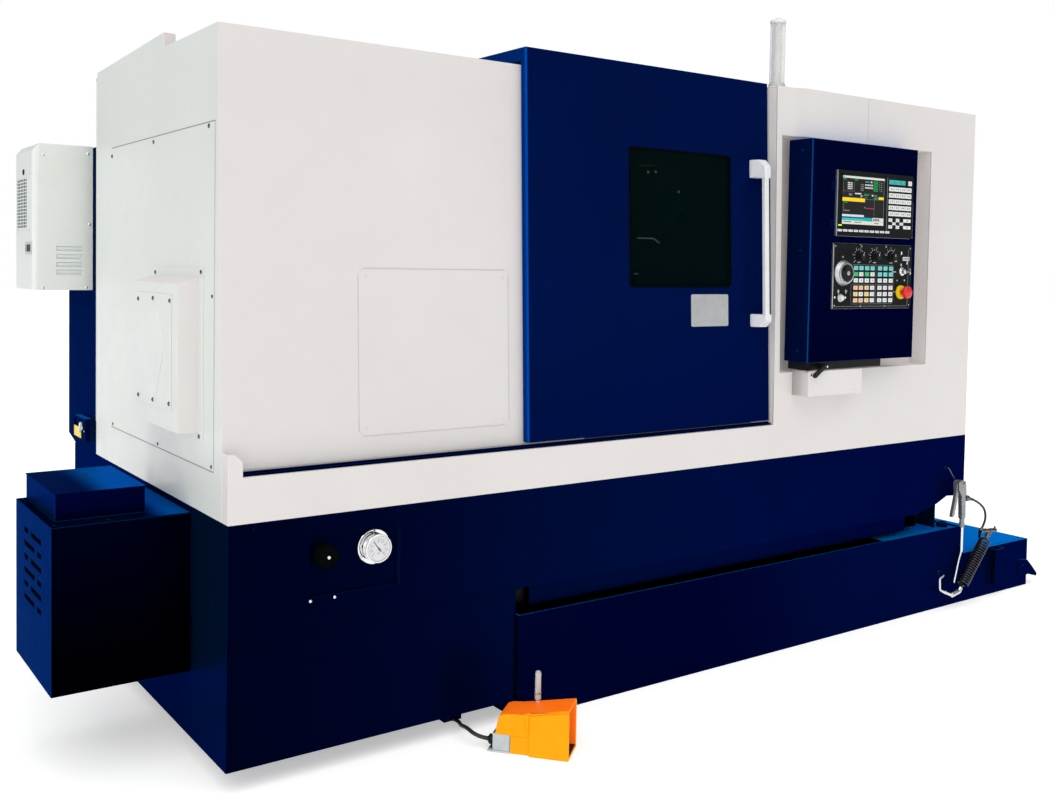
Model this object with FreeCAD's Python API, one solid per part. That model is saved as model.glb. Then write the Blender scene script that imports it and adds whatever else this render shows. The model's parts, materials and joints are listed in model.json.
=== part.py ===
import FreeCAD, Part
import os, math
from FreeCAD import Vector as V

os.makedirs("parts", exist_ok=True)

# ---------------------------------------------------------------------------
# Slant-bed CNC turning lathe.  Millimetres.
# Working frame: X to the right along the front, Y to the rear, Z up from the
# floor; X = 0 is the left side, Y = 0 the front face of the white band.
# At the very end everything is moved so that the origin is the centre of the
# footprint box (without the free hoses and the cable), on the floor.
# ---------------------------------------------------------------------------

# overall
L = 2706.0            # length of base and covers
DEPTH = 1320.0        # depth of the base
Z_BASE0 = 50.0        # underside of the base, on levelling feet
Z_BAND0 = 601.0       # top of base, bottom of white band
Z_BAND1 = 704.0       # top of white band
Z_ROOF = 1697.0       # roof of the left cover
Z_TOP = 1732.0        # roof of the right cover
Y_REAR = 1070.0       # rear of the covers
T = 4.0               # sheet thickness
JOINT = 0.3           # hairline between neighbouring sheets

# leaning left cover and door
LEAN = 0.04
Z_LEAN0 = 718.0
Y_COVER = 40.0
Y_DOOR = 12.0
COVER_X1 = 1010.0
DOOR_X0, DOOR_X1 = 803.0, 1703.0
DOOR_Z1 = 1740.0
DOOR_D = 24.0
WIN = (1151.0, 1542.0, 1122.0, 1508.0)

# spindle axis and slanted bed
AY, AZ = 345.0, 965.0
Q = math.sqrt(0.5)
BED_B = -490.0 * math.sqrt(0.5)
BED_X0, BED_X1 = 170.0, 2540.0
SP_R = 55.0           # spindle journal
SP_BORE = 26.0
CHUCK_R = 105.0
FIT = 0.05            # radial running clearance

# console
CX0, CX1, CY0, CY1, CZ0, CZ1 = 1785.0, 2303.0, -60.0, 32.0, 896.0, 1574.0
PX, PY = 1805.0, -35.0
HW_X, KEY_X, ES_X, PB_X = 1931.0, 2223.0, 2217.0, 1921.0

# chip tray
TX0, TX1, TX2, TYB = 777.0, 2698.0, 3128.0, 440.0
TZ1, TZ2 = 275.0, 175.0

NODES = {}


def box(x0, x1, y0, y1, z0, z1):
    return Part.makeBox(x1 - x0, y1 - y0, z1 - z0, V(x0, y0, z0))


def cyl(axis, a, b, c1, c2, r):
    """Cylinder along an axis from a to b, centred on the other two coordinates."""
    if axis == "x":
        return Part.makeCylinder(r, b - a, V(a, c1, c2), V(1, 0, 0))
    if axis == "y":
        return Part.makeCylinder(r, b - a, V(c1, a, c2), V(0, 1, 0))
    return Part.makeCylinder(r, b - a, V(c1, c2, a), V(0, 0, 1))


def prism(axis, pts, a, b):
    """Polygon across an axis, extruded from a to b."""
    if axis == "x":
        p = [V(a, u, v) for u, v in pts]
        d = V(b - a, 0, 0)
    elif axis == "y":
        p = [V(u, a, v) for u, v in pts]
        d = V(0, b - a, 0)
    else:
        p = [V(u, v, a) for u, v in pts]
        d = V(0, 0, b - a)
    s = Part.Face(Part.makePolygon(p + [p[0]])).extrude(d)
    return s if s.Volume > 0 else s.reversed()


def poly3(pts, d):
    """Planar polygon in space, extruded along a vector."""
    s = Part.Face(Part.makePolygon(pts + [pts[0]])).extrude(d)
    return s


def fuse(*s):
    r = s[0]
    if len(s) > 1:
        r = r.multiFuse(list(s[1:]))
    return r.removeSplitter()


def cut(a, *s):
    for t in s:
        a = a.cut(t)
    return a


def rod(p, q, r):
    d = q.sub(p)
    return Part.makeCylinder(r, d.Length, p, d)


def shell_box(x0, x1, y0, y1, z0, z1, t):
    return cut(box(x0, x1, y0, y1, z0, z1), box(x0 + t, x1 - t, y0 + t, y1 - t, z0 + t, z1 - t))


def add(name, shape):
    NODES[name] = shape


def ycov(z, y0=Y_COVER):
    return y0 + LEAN * (z - Z_LEAN0)


def sb(s, b):
    """Slanted bed coordinates (s up the slope, b off the bed) to (Y, Z)."""
    return (AY + Q * s - Q * b, AZ + Q * s + Q * b)


def slab(x0, x1, s0, s1, b0, b1):
    return prism("x", [sb(s0, b0), sb(s1, b0), sb(s1, b1), sb(s0, b1)], x0, x1)


def tube(points, r, name):
    """Straight runs joined by tangent arcs; radius 0.45 of the shorter run over
    the tangent of half the turn."""
    pts = [V(*p) for p in points]
    edges = []
    last = pts[0]
    total = 0.0
    rr = []
    for i in range(1, len(pts) - 1):
        a, b, c = pts[i - 1], pts[i], pts[i + 1]
        d1 = b.sub(a)
        d2 = c.sub(b)
        l1, l2 = d1.Length, d2.Length
        d1.normalize()
        d2.normalize()
        turn = d1.getAngle(d2)
        t = 0.45 * min(l1, l2)
        rad = t / math.tan(turn / 2.0)
        rr.append(round(rad, 1))
        s = b.sub(V(d1).multiply(t))
        e = b.add(V(d2).multiply(t))
        bis = V(d2).sub(d1)
        bis.normalize()
        h = rad / math.cos(turn / 2.0) - rad
        m = b.add(V(bis).multiply(h))
        edges.append(Part.LineSegment(last, s).toShape())
        edges.append(Part.Arc(s, m, e).toShape())
        total += last.distanceToPoint(s) + rad * turn
        last = e
    edges.append(Part.LineSegment(last, pts[-1]).toShape())
    total += last.distanceToPoint(pts[-1])
    path = Part.Wire(edges)
    d = pts[1].sub(pts[0])
    prof = Part.Wire([Part.makeCircle(r, pts[0], d)])
    s = path.makePipeShell([prof], True, False)
    print("cord %s: length %.1f mm, radii %s, volume ratio %.4f" % (
        name, total, rr, s.Volume / (math.pi * r * r * total)))
    return s


# ---------------------------------------------------------------- bed ------
bed = prism("x", [(460, 50), (1040, 50), (1040, 1060), (930, 1060), (460, 590)], BED_X0, BED_X1)
for x0 in (210.0, 790.0, 1370.0, 1950.0):        # core pockets, open below
    bed = bed.cut(box(x0, x0 + 540, 545, 955, 40, 520))
add("bed_casting", bed)

feet = []
for fx in (260.0, 1355.0, 2450.0):
    for fy in (505.0, 1000.0):
        feet.append(fuse(cyl("z", 0, 18, fx, fy, 45), cyl("z", 18, 50, fx, fy, 14)))
add("levelling_feet", Part.makeCompound(feet))

# --------------------------------------------------------------- base ------
GX0, GX1, GZ0, GZ1 = 191.0, 424.0, 411.0, 552.0
front_up = prism("y", [(0, 346), (0, Z_BAND0), (L, Z_BAND0), (L, 385), (2606, 392), (2548, 370),
                       (2427, 342), (2427, 346)], 0, T)
front_up = front_up.cut(box(GX0, GX1, -1, 5, GZ0, GZ1))
TJ = T + JOINT                                   # where the next sheet starts
gauge_pan = fuse(box(GX0 - 3, GX1 + 3, TJ, 16, GZ0 - 3, GZ1 + 3)).cut(box(GX0, GX1, 0, 13, GZ0, GZ1))
low_left = box(3, 772, 12, 16, Z_BASE0, 346)
step = box(TJ, 772, TJ, 16, 346, 350)
left_s = fuse(box(0, T, TJ, DEPTH - TJ, 346, Z_BAND0), box(3, 3 + T, 16 + JOINT, DEPTH - TJ, Z_BASE0, 350),
              box(0, 7, 16 + JOINT, DEPTH - TJ, 346, 350))
bottom_fl = box(7 + JOINT, 772, 12, 190, Z_BASE0, Z_BASE0 + T)
jamb_l = box(768, 772, 12, 190, Z_BASE0, 350)
rear_s = box(0, L, DEPTH - T, DEPTH, Z_BASE0, Z_BAND0)
right_s = prism("x", [(TJ, 385), (TJ, Z_BAND0), (DEPTH - TJ, Z_BAND0), (DEPTH - TJ, Z_BASE0), (470, Z_BASE0), (470, 385)],
                L - T, L)
strip = fuse(box(836, 2427, 40, 44, 283, 350), box(772 + JOINT, 2427, TJ, 44, 346, 350))
end_plate = box(2556, 2560, 13, 430, 283, 597)   # closes the recess above the tray on the right
deck = box(TJ, L - TJ, 1044, DEPTH - TJ, Z_BAND0 - T, Z_BAND0)
top_fl = [box(TJ, L - TJ, TJ, 44, Z_BAND0 - T, Z_BAND0), box(TJ, 44, 44 + JOINT, 1044 - JOINT, Z_BAND0 - T, Z_BAND0),
          box(L - 44, L - TJ, 44 + JOINT, 1044 - JOINT, Z_BAND0 - T, Z_BAND0)]
gland_dir = V(0.5, 25.9, -4.3)
gland_dir.normalize()
gland_blk = fuse(box(610, 662, 92, 150, 0.5, Z_BASE0 - JOINT), rod(V(634.5, 88, 6.6), V(634.5, 88, 6.6).add(V(gland_dir).multiply(7)), 5.3))
add("base_skirt", Part.makeCompound([front_up, gauge_pan, fuse(low_left, step, bottom_fl, jamb_l), left_s, rear_s,
                                     right_s, strip, end_plate, deck, gland_blk] + top_fl))

# --------------------------------------------------------- chip tray -------
tray = cut(box(TX0, TX1, 0, TYB, 0, TZ1), box(TX0 + T, TX1 - T, T, TYB - T, T, TZ1 + 5))
low = cut(box(TX1 - T, TX2, 0, TYB, 0, TZ2), box(TX1, TX2 - T, T, TYB - T, T, TZ2 - T))
ledge = box(2290, TX1 - T, T, TYB - T, 262, 268)
hand = fuse(box(2885, 2940, -22, -19, 38, 168), box(2885, 2888, -22, 0, 38, 168), box(2937, 2940, -22, 0, 38, 168))
cap = cyl("z", 268, 284, 2660, 53, 19)
drain = fuse(prism("y", [(TX2 - 64, 44), (TX2, 38), (TX2, 94), (TX2 - 62, 104)], -5, 0),
             prism("y", [(TX2, 40), (TX2 + 30, 32), (TX2 + 60, 24), (TX2 + 64, 34), (TX2 + 26, 70), (TX2, 92)], -5, 20),
             cyl("y", -9, -5, TX2 - 34, 70, 9))
add("chip_tray", fuse(tray, low, ledge, hand, cap, drain))

# -------------------------------------------------------- left cover -------
def lean_sheet(x0, x1, z0, z1, y0, t):
    return prism("x", [(ycov(z0, y0), z0), (ycov(z1, y0), z1), (ycov(z1, y0) + t, z1), (ycov(z0, y0) + t, z0)],
                 x0, x1)

lc_front = lean_sheet(0, COVER_X1, 710, Z_ROOF, Y_COVER, T)
lc_front = lc_front.cut(prism("y", [(-1, 700), (37, 700), (37, 714), (18, 742), (-1, 756)], 0, 60))
lc_side = prism("x", [(37.5, Z_BAND0), (37.5, 756), (ycov(756), 756), (ycov(Z_ROOF), Z_ROOF), (Y_REAR, Z_ROOF),
                      (Y_REAR, Z_BAND0)], 0, T)
lc_side = lc_side.cut(box(-1, 5, 184, 497, 790, 1128))
lc_roof = box(0, COVER_X1, ycov(Z_ROOF), Y_REAR, Z_ROOF - T, Z_ROOF)
lc_return = lean_sheet(COVER_X1 - T, COVER_X1, 710, Z_ROOF, Y_COVER, 60)
lc_foot = box(37, COVER_X1, ycov(710), ycov(710) + 30, 710, 714)
rail_r = fuse(prism("x", [(455, Z_ROOF - T), (455, 1733), (1066, 1712), (1066, Z_ROOF - T)], 0, T),
              poly3([V(0, 455, 1733), V(30, 455, 1733), V(30, 1066, 1712), V(0, 1066, 1712)], V(0, 0, -T)),
              box(0, 30, 455, 459, Z_ROOF - T, 1731))
add("left_cover", fuse(lc_front, lc_side, lc_roof, lc_return, lc_foot, rail_r))

def rrect(u0, u1, v0, v1, r):
    """Rounded rectangle as a polygon."""
    out = []
    for cu, cv, a0 in ((u1 - r, v1 - r, 0), (u0 + r, v1 - r, 90), (u0 + r, v0 + r, 180), (u1 - r, v0 + r, 270)):
        for k in range(5):
            a = math.radians(a0 + 22.5 * k)
            out.append((cu + r * math.cos(a), cv + r * math.sin(a)))
    return out

def lean_plate(pts, y0, t):
    """Plate of outline (X, Z) lying on the leaning plane, t thick to the front."""
    p = [V(x, ycov(z, y0) - t, z) for x, z in pts]
    return poly3(p, V(0, t, 0))

add("service_panel", lean_plate(rrect(335, 761, 767, 1162, 16), Y_COVER, 1.5))

sp = box(-2, 0, 90, 905, 706, 1482).cut(box(-3, 1, 184, 497, 790, 1128))
add("side_panel", sp)

flange = box(-4, -2, 151, 525, 759, 1160)
cbox = prism("y", [(-4, 781), (-4, 1137), (-53, 1122), (-53, 783)], 177, 504)
cint = prism("y", [(-1, 784), (-1, 1134), (-4, 1134), (-50, 1119), (-50, 786), (-4, 784)], 180, 501)
add("cylinder_cover", fuse(flange, cbox).cut(cint))
add("cylinder_cover_plate", box(-55.5, -53, 217, 478, 828, 1097))

# -------------------------------------------- front cover (one shell) ------
band = box(0, 1710, 0, T, Z_BAND0, Z_BAND1)
band_post = fuse(prism("y", [(0, Z_BAND1), (0, 756), (16, 756), (34, 738), (34, Z_BAND1)], 0, T),
                 box(0, T, 0, 37, Z_BAND0, 756))
band_top = box(TJ, 1710 - JOINT, TJ, 74, Z_BAND1 - T, Z_BAND1)
post = prism("x", [(0, 862), (16, Z_TOP), (20, Z_TOP), (4, 862)], 1710, 1785)
tri = poly3([V(1785, 0, 862), V(1815, 0, Z_TOP), V(1785, 16, Z_TOP)], V(0, T, 0))
face = prism("y", [(1710, Z_BAND0), (L, Z_BAND0), (L, Z_TOP), (1815, Z_TOP), (1785, 862), (1710, 862)], 0, T)
face = face.cut(box(1732, 2459, -1, 5, 862, 1584))
postc = post.cut(box(1732, 1800, -30, 60, 862, 1584))
tric = tri.cut(box(1732, 1830, -30, 60, 862, 1584))
pocket = cut(box(1728, 2463, TJ, 70, 858, 1588), box(1732, 2459, -10, 66, 862, 1584),
             prism("x", [(-50, 850), (TJ, 850), (TJ, 862), (16 + TJ, Z_TOP), (-50, Z_TOP)], 1700, 1785.6),
             prism("x", [(-50, 1500), (16 + TJ, 1500), (16 + TJ, 1600), (-50, 1600)], 1784, 1812))
jamb = prism("x", [(TJ, Z_BAND0), (TJ, 862), (15.9 + TJ, Z_TOP - TJ), (94, Z_TOP - TJ), (94, Z_BAND0)], 1710, 1714)
side_r = box(L - T, L, TJ, Y_REAR, Z_BAND0, Z_TOP - TJ)
top_r = prism("z", [(1710, 16 + TJ), (1787, 16 + TJ), (1818, TJ), (L, TJ), (L, 120 - JOINT), (1710, 120 - JOINT)],
              Z_TOP - T, Z_TOP)
bracket = box(1788, 2040, -65, -JOINT, 792, 869)
groove = box(2117, 2119, -1, 1.2, 1584, Z_TOP + 1)
add("front_cover", Part.makeCompound([fuse(band, band_post, postc, tric, face).cut(groove), band_top, pocket, jamb,
                                      side_r, top_r, bracket]))

# roof and rear
roof = fuse(box(1010, 1714, 410, Y_REAR, Z_ROOF - T, Z_ROOF), box(1710, 1714, 120, Y_REAR, Z_ROOF - T, Z_TOP),
            box(1710, L - T, 120, Y_REAR, Z_TOP - T, Z_TOP), box(1010, 1710, 410, 414, 1660, Z_ROOF))
add("roof_cover", roof)
add("rear_cover", fuse(box(0, L, Y_REAR, Y_REAR + T, Z_BAND0, Z_ROOF), box(1710, L, Y_REAR, Y_REAR + T, 1600, Z_TOP)))

# ------------------------------------------------- splash guard ------------
slope_lo = (470, 600.0 + 1.0)
lw = [(90, 560), (455, 560), (455, 586), (925, 1061), (1000, 1061), (1000, 1650), (140, 1650), (90, 780)]
left_wall = prism("x", lw, 622, 626).cut(cyl("x", 600, 640, AY, AZ, 122))
right_wall = prism("x", lw, 2512, 2516)
rear_wall = box(622, 2516, 1000, 1004, 1061, 1650)
chute = prism("x", [(455, 560), (60, 285), (58, 289), (453, 564)], 786, 2516)
chute_l = prism("x", [(90, 560), (455, 560), (455, 564), (90, 564)], 622, 790)
lip = prism("x", [(58, 289), (60, 285), (60, 345), (56, 345)], 786, 2427)
chute_end = prism("x", [(455, 560), (60, 285), (56, 345), (90, 562), (455, 564)], 786, 790)
chute_end2 = prism("x", [(455, 560), (60, 285), (56, 345), (90, 562), (455, 564)], 2512, 2516)
add("splash_guard", fuse(left_wall, right_wall, rear_wall, chute, chute_l, lip, chute_end, chute_end2))

add("door_rail", fuse(box(36, 1708, 8, 32, Z_BAND1, 709), box(36, 1708, 17, 23, 709, 713)))

# ------------------------------------------------------ headstock ----------
hs = slab(BED_X0, 620, -190, 190, BED_B, 130)
hs = hs.cut(cyl("x", 100, 700, AY, AZ, SP_R + FIT))
add("headstock", hs)

PUL_R, MPUL_R = 100.0, 70.0
spindle = fuse(cyl("x", -40, 638, AY, AZ, SP_R - 10), cyl("x", 120, 620.3, AY, AZ, SP_R),
               cyl("x", 620.3, 640, AY, AZ, 80), cyl("x", 100, 150, AY, AZ, PUL_R),
               cyl("x", -42, 40, AY, AZ, 85))
spindle = spindle.cut(cyl("x", -60, 660, AY, AZ, SP_BORE))
add("spindle", spindle)

# -------------------------------------------------------- chuck ------------
chuck = cyl("x", 640, 730, AY, AZ, CHUCK_R).cut(cyl("x", 600, 760, AY, AZ, SP_BORE))
jaws = []
for k in range(3):
    a = 90.0 + 120.0 * k
    slot = box(712, 731, -15, 15, 28, 120)
    jaw = fuse(box(712.3, 730, -14.7, 14.7, 40, 96), box(730.3, 752, -14.7, 14.7, 40, 96),
               box(729, 731, -14.7, 14.7, 40, 96), box(752, 768, -14.7, 14.7, 56, 96))
    for sh, lst in ((slot, None), (jaw, jaws)):
        sh.rotate(V(0, 0, 0), V(1, 0, 0), a - 90.0)
        sh.translate(V(0, AY, AZ))
    chuck = chuck.cut(slot)
    jaws.append(jaw)
add("chuck_body", chuck)
for k in range(3):
    add("chuck_jaw_%d" % (k + 1), jaws[k])

# -------------------------------------------------------- drive ------------
MY, MZ = 270.0, 480.0
motor = fuse(box(190, 520, MY - 110, MY + 110, MZ - 110, MZ + 110), box(180, 190, MY - 125, MY + 125, 54, MZ + 125),
             box(190, 520, MY - 125, MY + 125, 54, 66), box(300, 420, MY - 60, MY + 60, MZ + 110, MZ + 150),
             box(505, 520, MY - 110, MY + 110, 60, MZ), box(190, 520, 160, 172, 60, MZ))
motor = motor.cut(cyl("x", 170, 300, MY, MZ, 19 + FIT))
add("spindle_motor", motor)
mp = fuse(cyl("x", 100, 150, MY, MZ, MPUL_R), cyl("x", 150, 290, MY, MZ, 19))
add("motor_pulley", mp)

def belt_face(x, r1, r2):
    dy, dz = MY - AY, MZ - AZ
    dist = math.hypot(dy, dz)
    base = math.atan2(dz, dy)
    off = math.acos((r1 - r2) / dist)
    pts = []
    n = 24
    for i in range(n + 1):
        a = base + off + (2 * math.pi - 2 * off) * i / n
        pts.append((AY + r1 * math.cos(a), AZ + r1 * math.sin(a)))
    for i in range(n + 1):
        a = base - off + 2 * off * i / n
        pts.append((MY + r2 * math.cos(a), MZ + r2 * math.sin(a)))
    return pts

belt = prism("x", belt_face(0, PUL_R + 8.5, MPUL_R + 8.5), 108, 142).cut(
    prism("x", belt_face(0, PUL_R + 1.5, MPUL_R + 1.5), 100, 150))
add("drive_belt", belt)

# ----------------------------------------------- slides on the bed ---------
rails = [slab(640, 2500, s - 22, s + 22, BED_B, -307) for s in (-140, 40, 130, 430)]
add("guide_rails", Part.makeCompound(rails))

def shoe(x0, x1, s):
    """Carriage shoe straddling one rail."""
    return slab(x0, x1, s - 39, s + 39, -342, -300).cut(slab(x0 - 1, x1 + 1, s - 22.4, s + 22.4, -347, -306.6))

carr = fuse(slab(1210, 1590, 91, 475, -300, -245), shoe(1210, 1310, 130), shoe(1490, 1590, 130),
            shoe(1210, 1310, 430), shoe(1490, 1590, 430))
add("carriage", carr)
cs = fuse(slab(1350, 1570, 240, 620, -244.6, -150), slab(1350, 1560, 330, 530, -150, 110))
cs = cs.cut(cyl("x", 1300, 1460, sb(430, 0)[0], sb(430, 0)[1], 45 + FIT))
add("cross_slide", cs)

TY, TZ = sb(430, 0)
dpts = []
for k in range(12):
    a = math.radians(30.0 * k + 15.0)
    dpts.append((TY + 176.0 * math.cos(a), TZ + 176.0 * math.sin(a)))
disc = fuse(prism("x", dpts, 1250, 1338), cyl("x", 1338, 1345, TY, TZ, 90), cyl("x", 1345, 1450, TY, TZ, 45))
add("turret_disc", disc)
tools = []
for k in range(6):
    a = 60.0 * k
    blk = box(1256, 1318, -30, 30, 170.3, 206)
    if k % 2:
        tl = fuse(blk, cyl("x", 1190, 1256, 0, 189, 12.5), cyl("x", 1240, 1256, 0, 189, 17.5))
    else:
        tl = fuse(blk, box(1262, 1282, -10, 10, 206, 219), box(1250, 1262, -10, 10, 206, 219))
    tl.rotate(V(0, 0, 0), V(1, 0, 0), a + 90.0)
    tl.translate(V(0, TY, TZ))
    tools.append(tl)
add("tool_holders", Part.makeCompound(tools))

ts = fuse(slab(1950, 2250, -178, 80, -300, -240), slab(1950, 2250, -78, 70, -240, 72),
          shoe(1950, 2040, -140), shoe(2160, 2250, -140), shoe(1950, 2040, 40), shoe(2160, 2250, 40))
ts = ts.cut(cyl("x", 1900, 2210, AY, AZ, 40 + FIT))
add("tailstock_body", ts)
quill = fuse(cyl("x", 1930, 2190, AY, AZ, 40), Part.makeCone(2.0, 19.0, 30, V(1900, AY, AZ), V(1, 0, 0)))
add("tailstock_quill", quill)

# ------------------------------------------------------------ door ---------
dz0, dz1 = Z_LEAN0, DOOR_Z1
def dlean(x0, x1, z0, z1, a, b):
    """Slab between offsets a and b behind the leaning front plane of the door."""
    return prism("x", [(ycov(z0, Y_DOOR) + a, z0), (ycov(z1, Y_DOOR) + a, z1), (ycov(z1, Y_DOOR) + b, z1),
                       (ycov(z0, Y_DOOR) + b, z0)], x0, x1)

skin = dlean(DOOR_X0, DOOR_X1, dz0, dz1, 0, 3).cut(box(WIN[0], WIN[1], -20, 100, WIN[2], WIN[3]))
yt = ycov(dz1, Y_DOOR)
rails_d = fuse(skin,
               dlean(DOOR_X0, DOOR_X0 + 3, dz0, dz1, 0, DOOR_D), dlean(DOOR_X1 - 3, DOOR_X1, dz0, dz1, 0, DOOR_D),
               dlean(DOOR_X0, DOOR_X1, dz0, dz0 + 3, 0, DOOR_D),
               box(DOOR_X0, DOOR_X1, yt, 430, dz1 - 3, dz1),
               prism("x", [(yt - 1.2, 1706), (yt, dz1), (430, dz1), (430, 1706)], DOOR_X0, DOOR_X0 + 3),
               prism("x", [(yt - 1.2, 1706), (yt, dz1), (430, dz1), (430, 1706)], DOOR_X1 - 3, DOOR_X1),
               box(DOOR_X0, DOOR_X1, 427, 430, 1706, dz1))
add("door_shell", rails_d)
add("door_window", dlean(1136, 1557, 1107, 1523, 3.0, 10.0))

H = 53.0
hgrip = dlean(1634, 1655, 1020, 1480, -H, -H + 14)
harm1 = dlean(1622, 1660, 1004, 1042, -H, 0)
harm2 = dlean(1622, 1660, 1449, 1503, -H, 0)
cut_r1 = prism("x", [(ycov(1004, Y_DOOR) - H - 1, 1003), (ycov(1004, Y_DOOR) - H + 20, 1003), (ycov(1004, Y_DOOR) - H - 1, 1024)],
               1600, 1680)
cut_r2 = prism("x", [(ycov(1503, Y_DOOR) - H - 1, 1504), (ycov(1503, Y_DOOR) - H + 20, 1504), (ycov(1503, Y_DOOR) - H - 1, 1483)],
               1600, 1680)
taper = [prism("z", [(1600, yd - 10), (1621, yd - 10), (1634, yd - H), (1634, yd - H - 30), (1600, yd - H - 30)], z0, z1)
         for yd, z0, z1 in ((ycov(1023, Y_DOOR), 990, 1060), (ycov(1476, Y_DOOR), 1430, 1520))]
add("door_handle", fuse(hgrip, harm1, harm2).cut(cut_r1).cut(cut_r2).cut(taper[0]).cut(taper[1]))

# ------------------------------------------------- cabinet, cooler ---------
cab = prism("x", [(1078, 605), (1323, 605), (1396, 624), (1396, 1500), (1078, 1500)], 0, 1100)
cabi = prism("x", [(1082, 609), (1322, 609), (1392, 627), (1392, 1496), (1082, 1496)], 4, 1096)
sw_box = fuse(box(-20, 0, 1125, 1239, 632, 699), box(-22, -20, 1160, 1237, 638, 669))
cab_foot = box(0, 1100, 1078, 1316, 601, 605)
add("electrical_cabinet", fuse(cab, cab_foot).cut(cabi).fuse(sw_box))
cool = prism("z", [(0, 1110), (-148, 1110), (-159, 1114), (-165, 1124), (-165, 1340), (0, 1340)], 1082, 1503)
cool = cool.cut(prism("y", [(-166, 1504), (-166, 1481), (-148, 1504)], 1100, 1350))
for zc in (1202, 1179, 1156, 1134):
    cool = cool.cut(box(-100, -30, 1105, 1118, zc - 6, zc + 6))
add("cabinet_cooler", cool)
sw_lever = box(-29, -23, 1144.5, 1155.5, 656, 688)
sw_lever.rotate(V(-26, 1150, 672), V(1, 0, 0), 28)
ms = fuse(cyl("x", -23, -20.3, 1150, 672, 9.5), sw_lever)
add("main_switch", ms)

# ------------------------------------------------------ side tank ----------
tank = cut(box(-309, 0, 235, 598, 212, 587), box(-306, -3, 238, 595, 215, 584))
for r in range(6):
    zc = 534 - r * 31.8
    for y0, y1 in (((329, 441), (463, 508)) if r % 2 == 0 else ((329, 374), (396, 508))):
        tank = tank.cut(box(-310, -305, y0, y1, zc - 6, zc + 6))
tbox = cut(box(-287, -88, 297, 592, 587, 648), box(-284, -91, 300, 589, 580, 645))
add("side_tank", fuse(tank, tbox))

# -------------------------------------------------------- console ----------
cons = cut(box(CX0, CX1, CY0, CY1, CZ0, CZ1), box(CX0 + 3, CX1 - 3, CY0 + 3, CY1 - 3, CZ0 + 3, CZ1 - 3))
add("console_box", cons)
add("console_mount", fuse(box(1790, 2150, -50, 20, 872, 896), cyl("z", 869.3, 872, PX, PY, 15)))
lev = fuse(cyl("y", -80, -50.3, 1855, 883, 8),
           prism("y", [(1855, 875), (1806, 849), (1797, 853), (1800, 862), (1852, 891)], -80, -71))
add("clamp_lever", lev)
add("screen_unit", prism("y", rrect(1892, 2271, 1283, 1487, 8), -68, -60))
mpan = fuse(prism("y", rrect(1884, 2276, 1058, 1262, 6), -66, -60), cyl("y", -74, -66, ES_X, 1110, 22),
            cyl("y", -70, -66, KEY_X, 1177, 14), cyl("y", -70, -66, PB_X, 1092, 13))
mpan = mpan.cut(cyl("y", -81, -62, ES_X, 1110, 8 + FIT)).cut(cyl("y", -71, -62, PB_X, 1092, 8.5 + FIT))
add("machine_panel", mpan)
hw = fuse(cyl("y", -80, -66.3, HW_X, 1169, 40), cyl("y", -84, -80, HW_X, 1169, 33), cyl("y", -88, -84, HW_X, 1169, 24),
          cyl("y", -102, -84, HW_X - 20, 1169 + 15, 7))
add("handwheel", hw)
for i, (kx, kz) in enumerate(((2007, 1221), (2084, 1222), (2166, 1222))):
    add("feed_knob_%d" % (i + 1), fuse(cyl("y", -71, -66.3, kx, kz, 13), cyl("y", -84, -71, kx, kz, 10.5),
                                       box(kx - 1, kx + 1, -84.8, -71, kz, kz + 11)))
add("emergency_stop", fuse(cyl("y", -103, -88, ES_X, 1110, 20), cyl("y", -88, -70, ES_X, 1110, 8)))
add("key_switch", fuse(cyl("y", -80, -70.3, KEY_X, 1177, 8), box(KEY_X - 1.5, KEY_X + 1.5, -100, -80, 1170, 1184)))
add("push_button", cyl("y", -78, -65.5, PB_X, 1092, 8.5))

# ------------------------------------------------- gauge, regulator --------
gauge = fuse(cyl("y", -12, 13, 360, 478 + 30, 31), cyl("y", 9, 13, 360, 508, 42), cyl("y", -16, -12, 360, 508, 34))
gauge = gauge.cut(cyl("y", -16.1, -13, 360, 508, 30))
add("pressure_gauge", gauge)
rk = fuse(cyl("y", -22, 12.7, 230, 506, 25), cyl("y", -14, 2, 230, 506, 27.5))
add("regulator_knob", rk)

# ----------------------------------------------------------- lamp ----------
lamp = fuse(cyl("z", Z_TOP, Z_TOP + 14, 1752, 60, 26), cyl("z", Z_TOP + 14, 1929, 1752, 60, 23),
            cyl("z", 1929, 1938, 1752, 60, 24.5), cyl("z", 1938, 1945, 1752, 60, 10))
add("signal_lamp", lamp)

# --------------------------------------------------------- air gun ---------
GY = -35.0
head = prism("y", [(2604, 446), (2622, 452), (2637, 450), (2650, 438), (2654, 396), (2632, 390), (2620, 404),
                   (2606, 418)], GY - 12, GY + 12)
grip = prism("y", [(2630, 400), (2654, 400), (2657, 314), (2636, 314)], GY - 9, GY + 9)
nose = fuse(cyl("z", 300, 314, 2647, GY, 8.5), cyl("z", 284, 300, 2647, GY, 9.5), cyl("z", 196, 284, 2648, GY, 5.5))
noz = fuse(rod(V(2648, GY, 200), V(2636, GY, 172), 3.2), rod(V(2636, GY, 172), V(2611, GY, 92), 3.2),
           Part.makeSphere(3.2, V(2636, GY, 172)))
H0, H1 = V(2689.4, GY, 379.4), V(2720.5, GY, 371.9)
hdir = H1.sub(H0)
hdir.normalize()
barb = fuse(rod(H0.sub(V(hdir).multiply(38)), H0, 6.5), rod(H0.sub(V(hdir).multiply(30)), H0.sub(V(hdir).multiply(12)), 10.5))
gun = fuse(head, grip, nose, noz, barb)
gun = gun.cut(box(2590, 2622, GY - 7.5, GY + 7.5, 380, 460)).cut(cyl("y", GY - 20, GY + 20, 2632, 438, 5.0))
add("air_gun_body", gun)
lever = prism("y", [(2605, 440), (2614, 440), (2613, 400), (2595, 329), (2582, 326), (2580, 333), (2600, 404)],
              GY - 6.5, GY + 6.5)
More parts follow.
